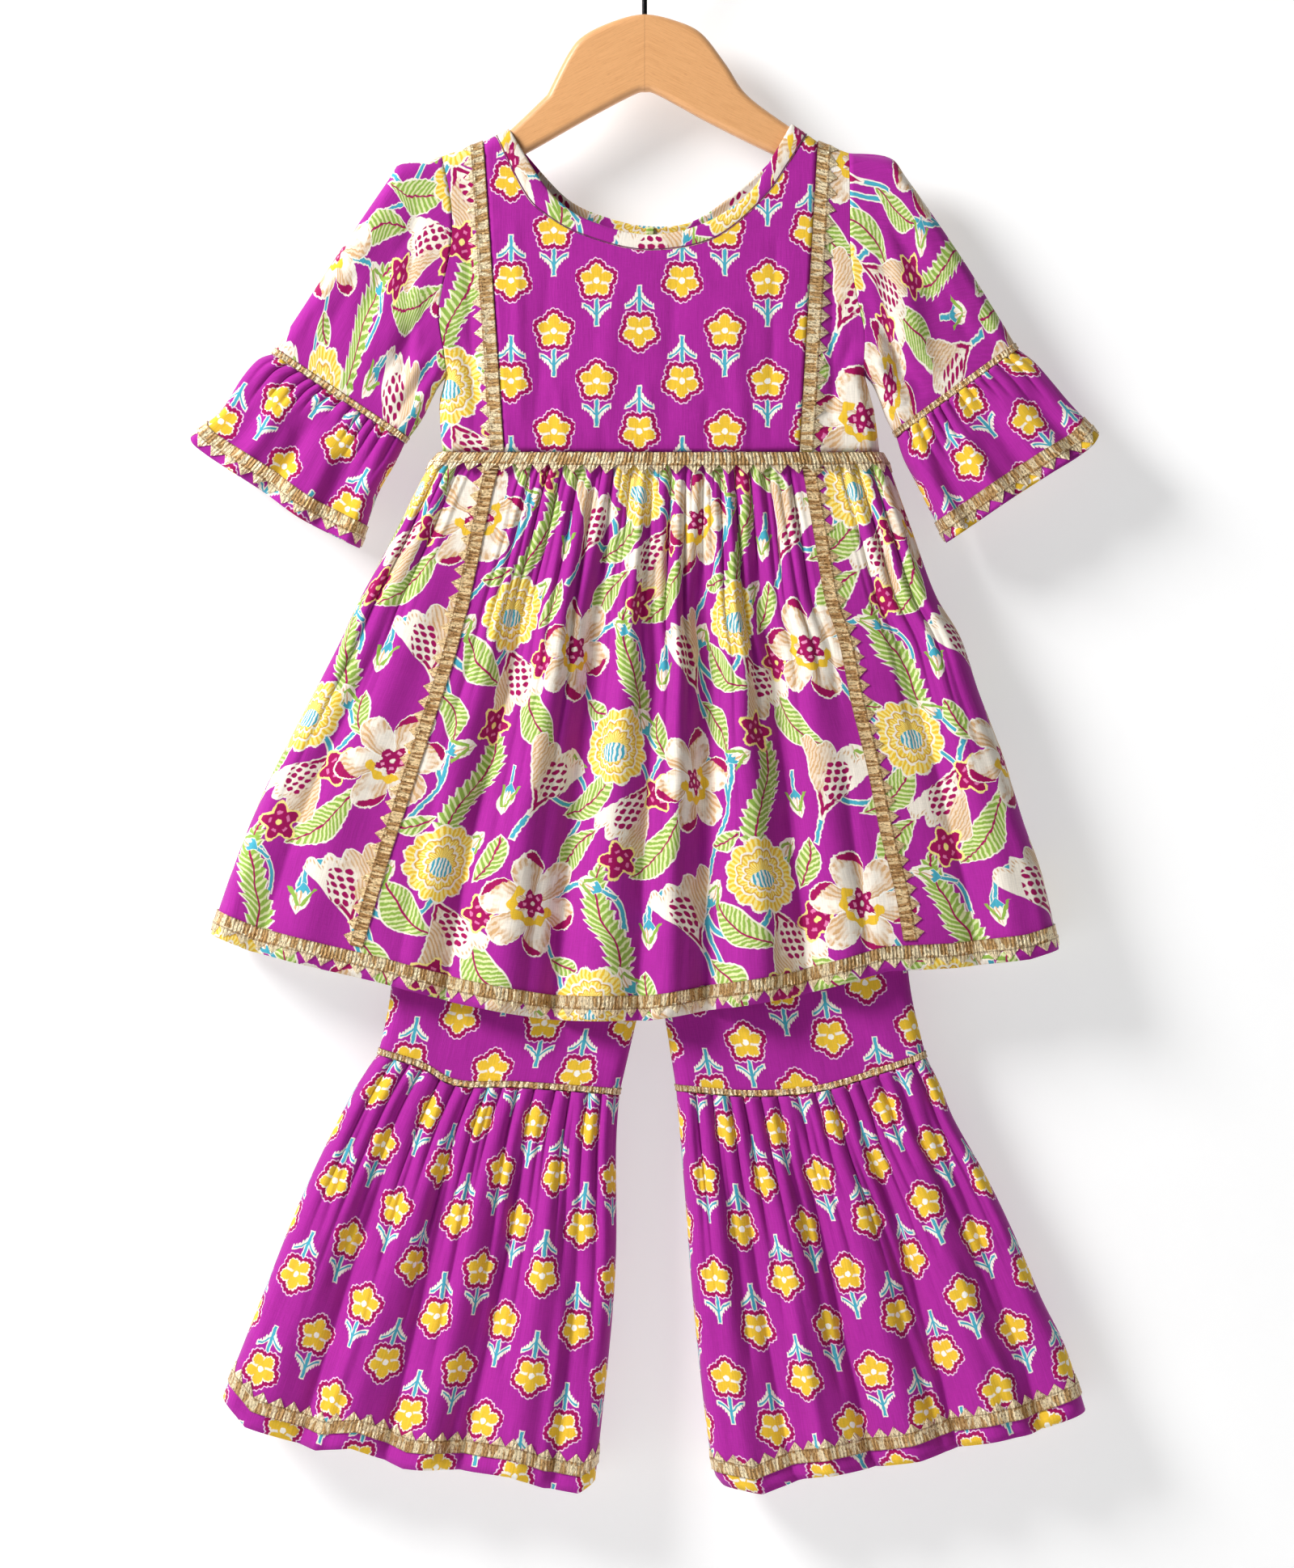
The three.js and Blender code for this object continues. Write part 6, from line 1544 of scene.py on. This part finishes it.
def poly_curve(name, dimensions, points, **settings):
    """A curve of straight steps through points in millimetres."""
    shape = bpy.data.curves.new(name, "CURVE")
    shape.dimensions = dimensions
    for key, item in settings.items():
        setattr(shape, key, item)
    line = shape.splines.new("POLY")
    line.points.add(len(points) - 1)
    for point, (x, y, z) in zip(line.points, points):
        point.co = (x * MM, y * MM, z * MM, 1)
    return shape


def board_piece():
    loop = [(x, z, 0) for x, z in dense([*BOARD, BOARD[0]], 7)[:-1]]
    shape = poly_curve("hanger", "2D", loop, fill_mode="BOTH", extrude=(BOARD_HALF - BOARD_BEVEL) * MM,
                       bevel_depth=BOARD_BEVEL * MM, bevel_resolution=5, offset=-BOARD_BEVEL * MM)
    shape.splines[0].use_cyclic_u = True
    outline = add_object("hanger_shape", shape)
    mesh = bpy.data.meshes.new_from_object(outline.evaluated_get(bpy.context.evaluated_depsgraph_get()))
    bpy.data.objects.remove(outline)
    for vertex in mesh.vertices:
        x, z, y = vertex.co
        vertex.co = (x, -y, z)
    mesh.name = "board"
    mesh.materials.clear()
    mesh.materials.append(WOOD)
    for polygon in mesh.polygons:
        polygon.use_smooth = True
    mesh.set_sharp_from_angle(angle=math.radians(SHARP_EDGE))
    add_piece("board", mesh, "hanger_wood", "hanger_board")


def hook_piece():
    centre = WIRE_RADIUS - CROOK_RADIUS
    route = [(SHANK_X, z) for z in (-61.7, -56, -50, -44)]
    for degrees in (-40, -20, 0, 25, 50, 75, 90, 105, 130, 155, 180, 200):
        angle = math.radians(degrees)
        route.append((CROOK_RADIUS * math.cos(angle), centre + CROOK_RADIUS * math.sin(angle)))
    line = [(x, 0, z) for x, z in dense(route, 8)]
    shape = poly_curve("hook", "3D", line, bevel_depth=WIRE_RADIUS * MM, bevel_resolution=6,
                       use_fill_caps=True)
    shape.materials.append(WIRE)
    add_piece("hook", shape, "hook_wire", "hanger_hook")


board_piece()
hook_piece()

# Stage, light and camera

FLOOR_Z = -1.25
FLOOR_REACH = 4
WALL_Y = 0.034
WALL_REACH = 3
WALL_TOP = 1.5
WALL_GLOW = 0.46
WORLD_LIGHT = 0.07
SENSOR = 36.0
FRAME_HEIGHT = 0.9695
FRAME_DISTANCE = 3.0
CAMERA_PLACE = (0.0, -3.02, -0.54075)


def stage_plane(name, corners, material):
    mesh = bpy.data.meshes.new(name)
    mesh.from_pydata(corners, [], [(0, 1, 2, 3)])
    mesh.materials.append(material)
    add_object(name, mesh)


floor_corners = [(x * FLOOR_REACH, y * FLOOR_REACH, FLOOR_Z) for x, y in ((-1, -1), (1, -1), (1, 1), (-1, 1))]
stage_plane("floor", floor_corners, plain("stage_floor", (0.9, 0.9, 0.9, 1))[0])

# The wall shows only from the front, so that views from behind see the suit
wall_material, tree, principled = plain("stage_wall", (0.62, 0.62, 0.62, 1))
fill(tree, principled, {"Emission Color": (1, 1, 1, 1), "Emission Strength": WALL_GLOW})
clear = add_node(tree, "ShaderNodeBsdfTransparent")
behind = add_node(tree, "ShaderNodeNewGeometry").outputs["Backfacing"]
both = add_node(tree, "ShaderNodeMixShader", {0: behind, 1: principled.outputs[0], 2: clear.outputs[0]})
tree.links.new(both.outputs[0], tree.nodes["Material Output"].inputs[0])
wall_corners = [
    (-WALL_REACH, WALL_Y, FLOOR_Z), (WALL_REACH, WALL_Y, FLOOR_Z),
    (WALL_REACH, WALL_Y, WALL_TOP), (-WALL_REACH, WALL_Y, WALL_TOP),
]
stage_plane("wall", wall_corners, wall_material)

world = bpy.data.worlds.new("studio")
world.use_nodes = True
fill(world.node_tree, world.node_tree.nodes["Background"], {0: (1, 1, 1, 1), 1: WORLD_LIGHT})
bpy.context.scene.world = world


def area_light(name, position, target, size, power):
    light = bpy.data.lights.new(name, "AREA")
    light.shape = "DISK"
    light.size = size
    light.energy = power
    made = add_object(name, light)
    made.location = position
    direction = np.array(target) - np.array(position)
    made.rotation_euler = (
        math.atan2(math.hypot(direction[0], direction[1]), -direction[2]),
        0.0,
        math.atan2(direction[1], direction[0]) - math.pi / 2,
    )


area_light("key", (-1.8, -1.3, 0.85), (0, 0, -0.5), 1.0, 90)
area_light("fill", (1.6, -2.2, -0.2), (0, 0, -0.55), 1.6, 2.5)

camera_data = bpy.data.cameras.new("camera")
camera_data.sensor_fit = "VERTICAL"
camera_data.sensor_height = SENSOR
camera_data.lens = SENSOR * FRAME_DISTANCE / FRAME_HEIGHT
camera = add_object("camera", camera_data)
camera.location = CAMERA_PLACE
camera.rotation_euler = (math.radians(90), 0, 0)
bpy.context.scene.camera = camera
bpy.context.scene.view_settings.view_transform = "Standard"

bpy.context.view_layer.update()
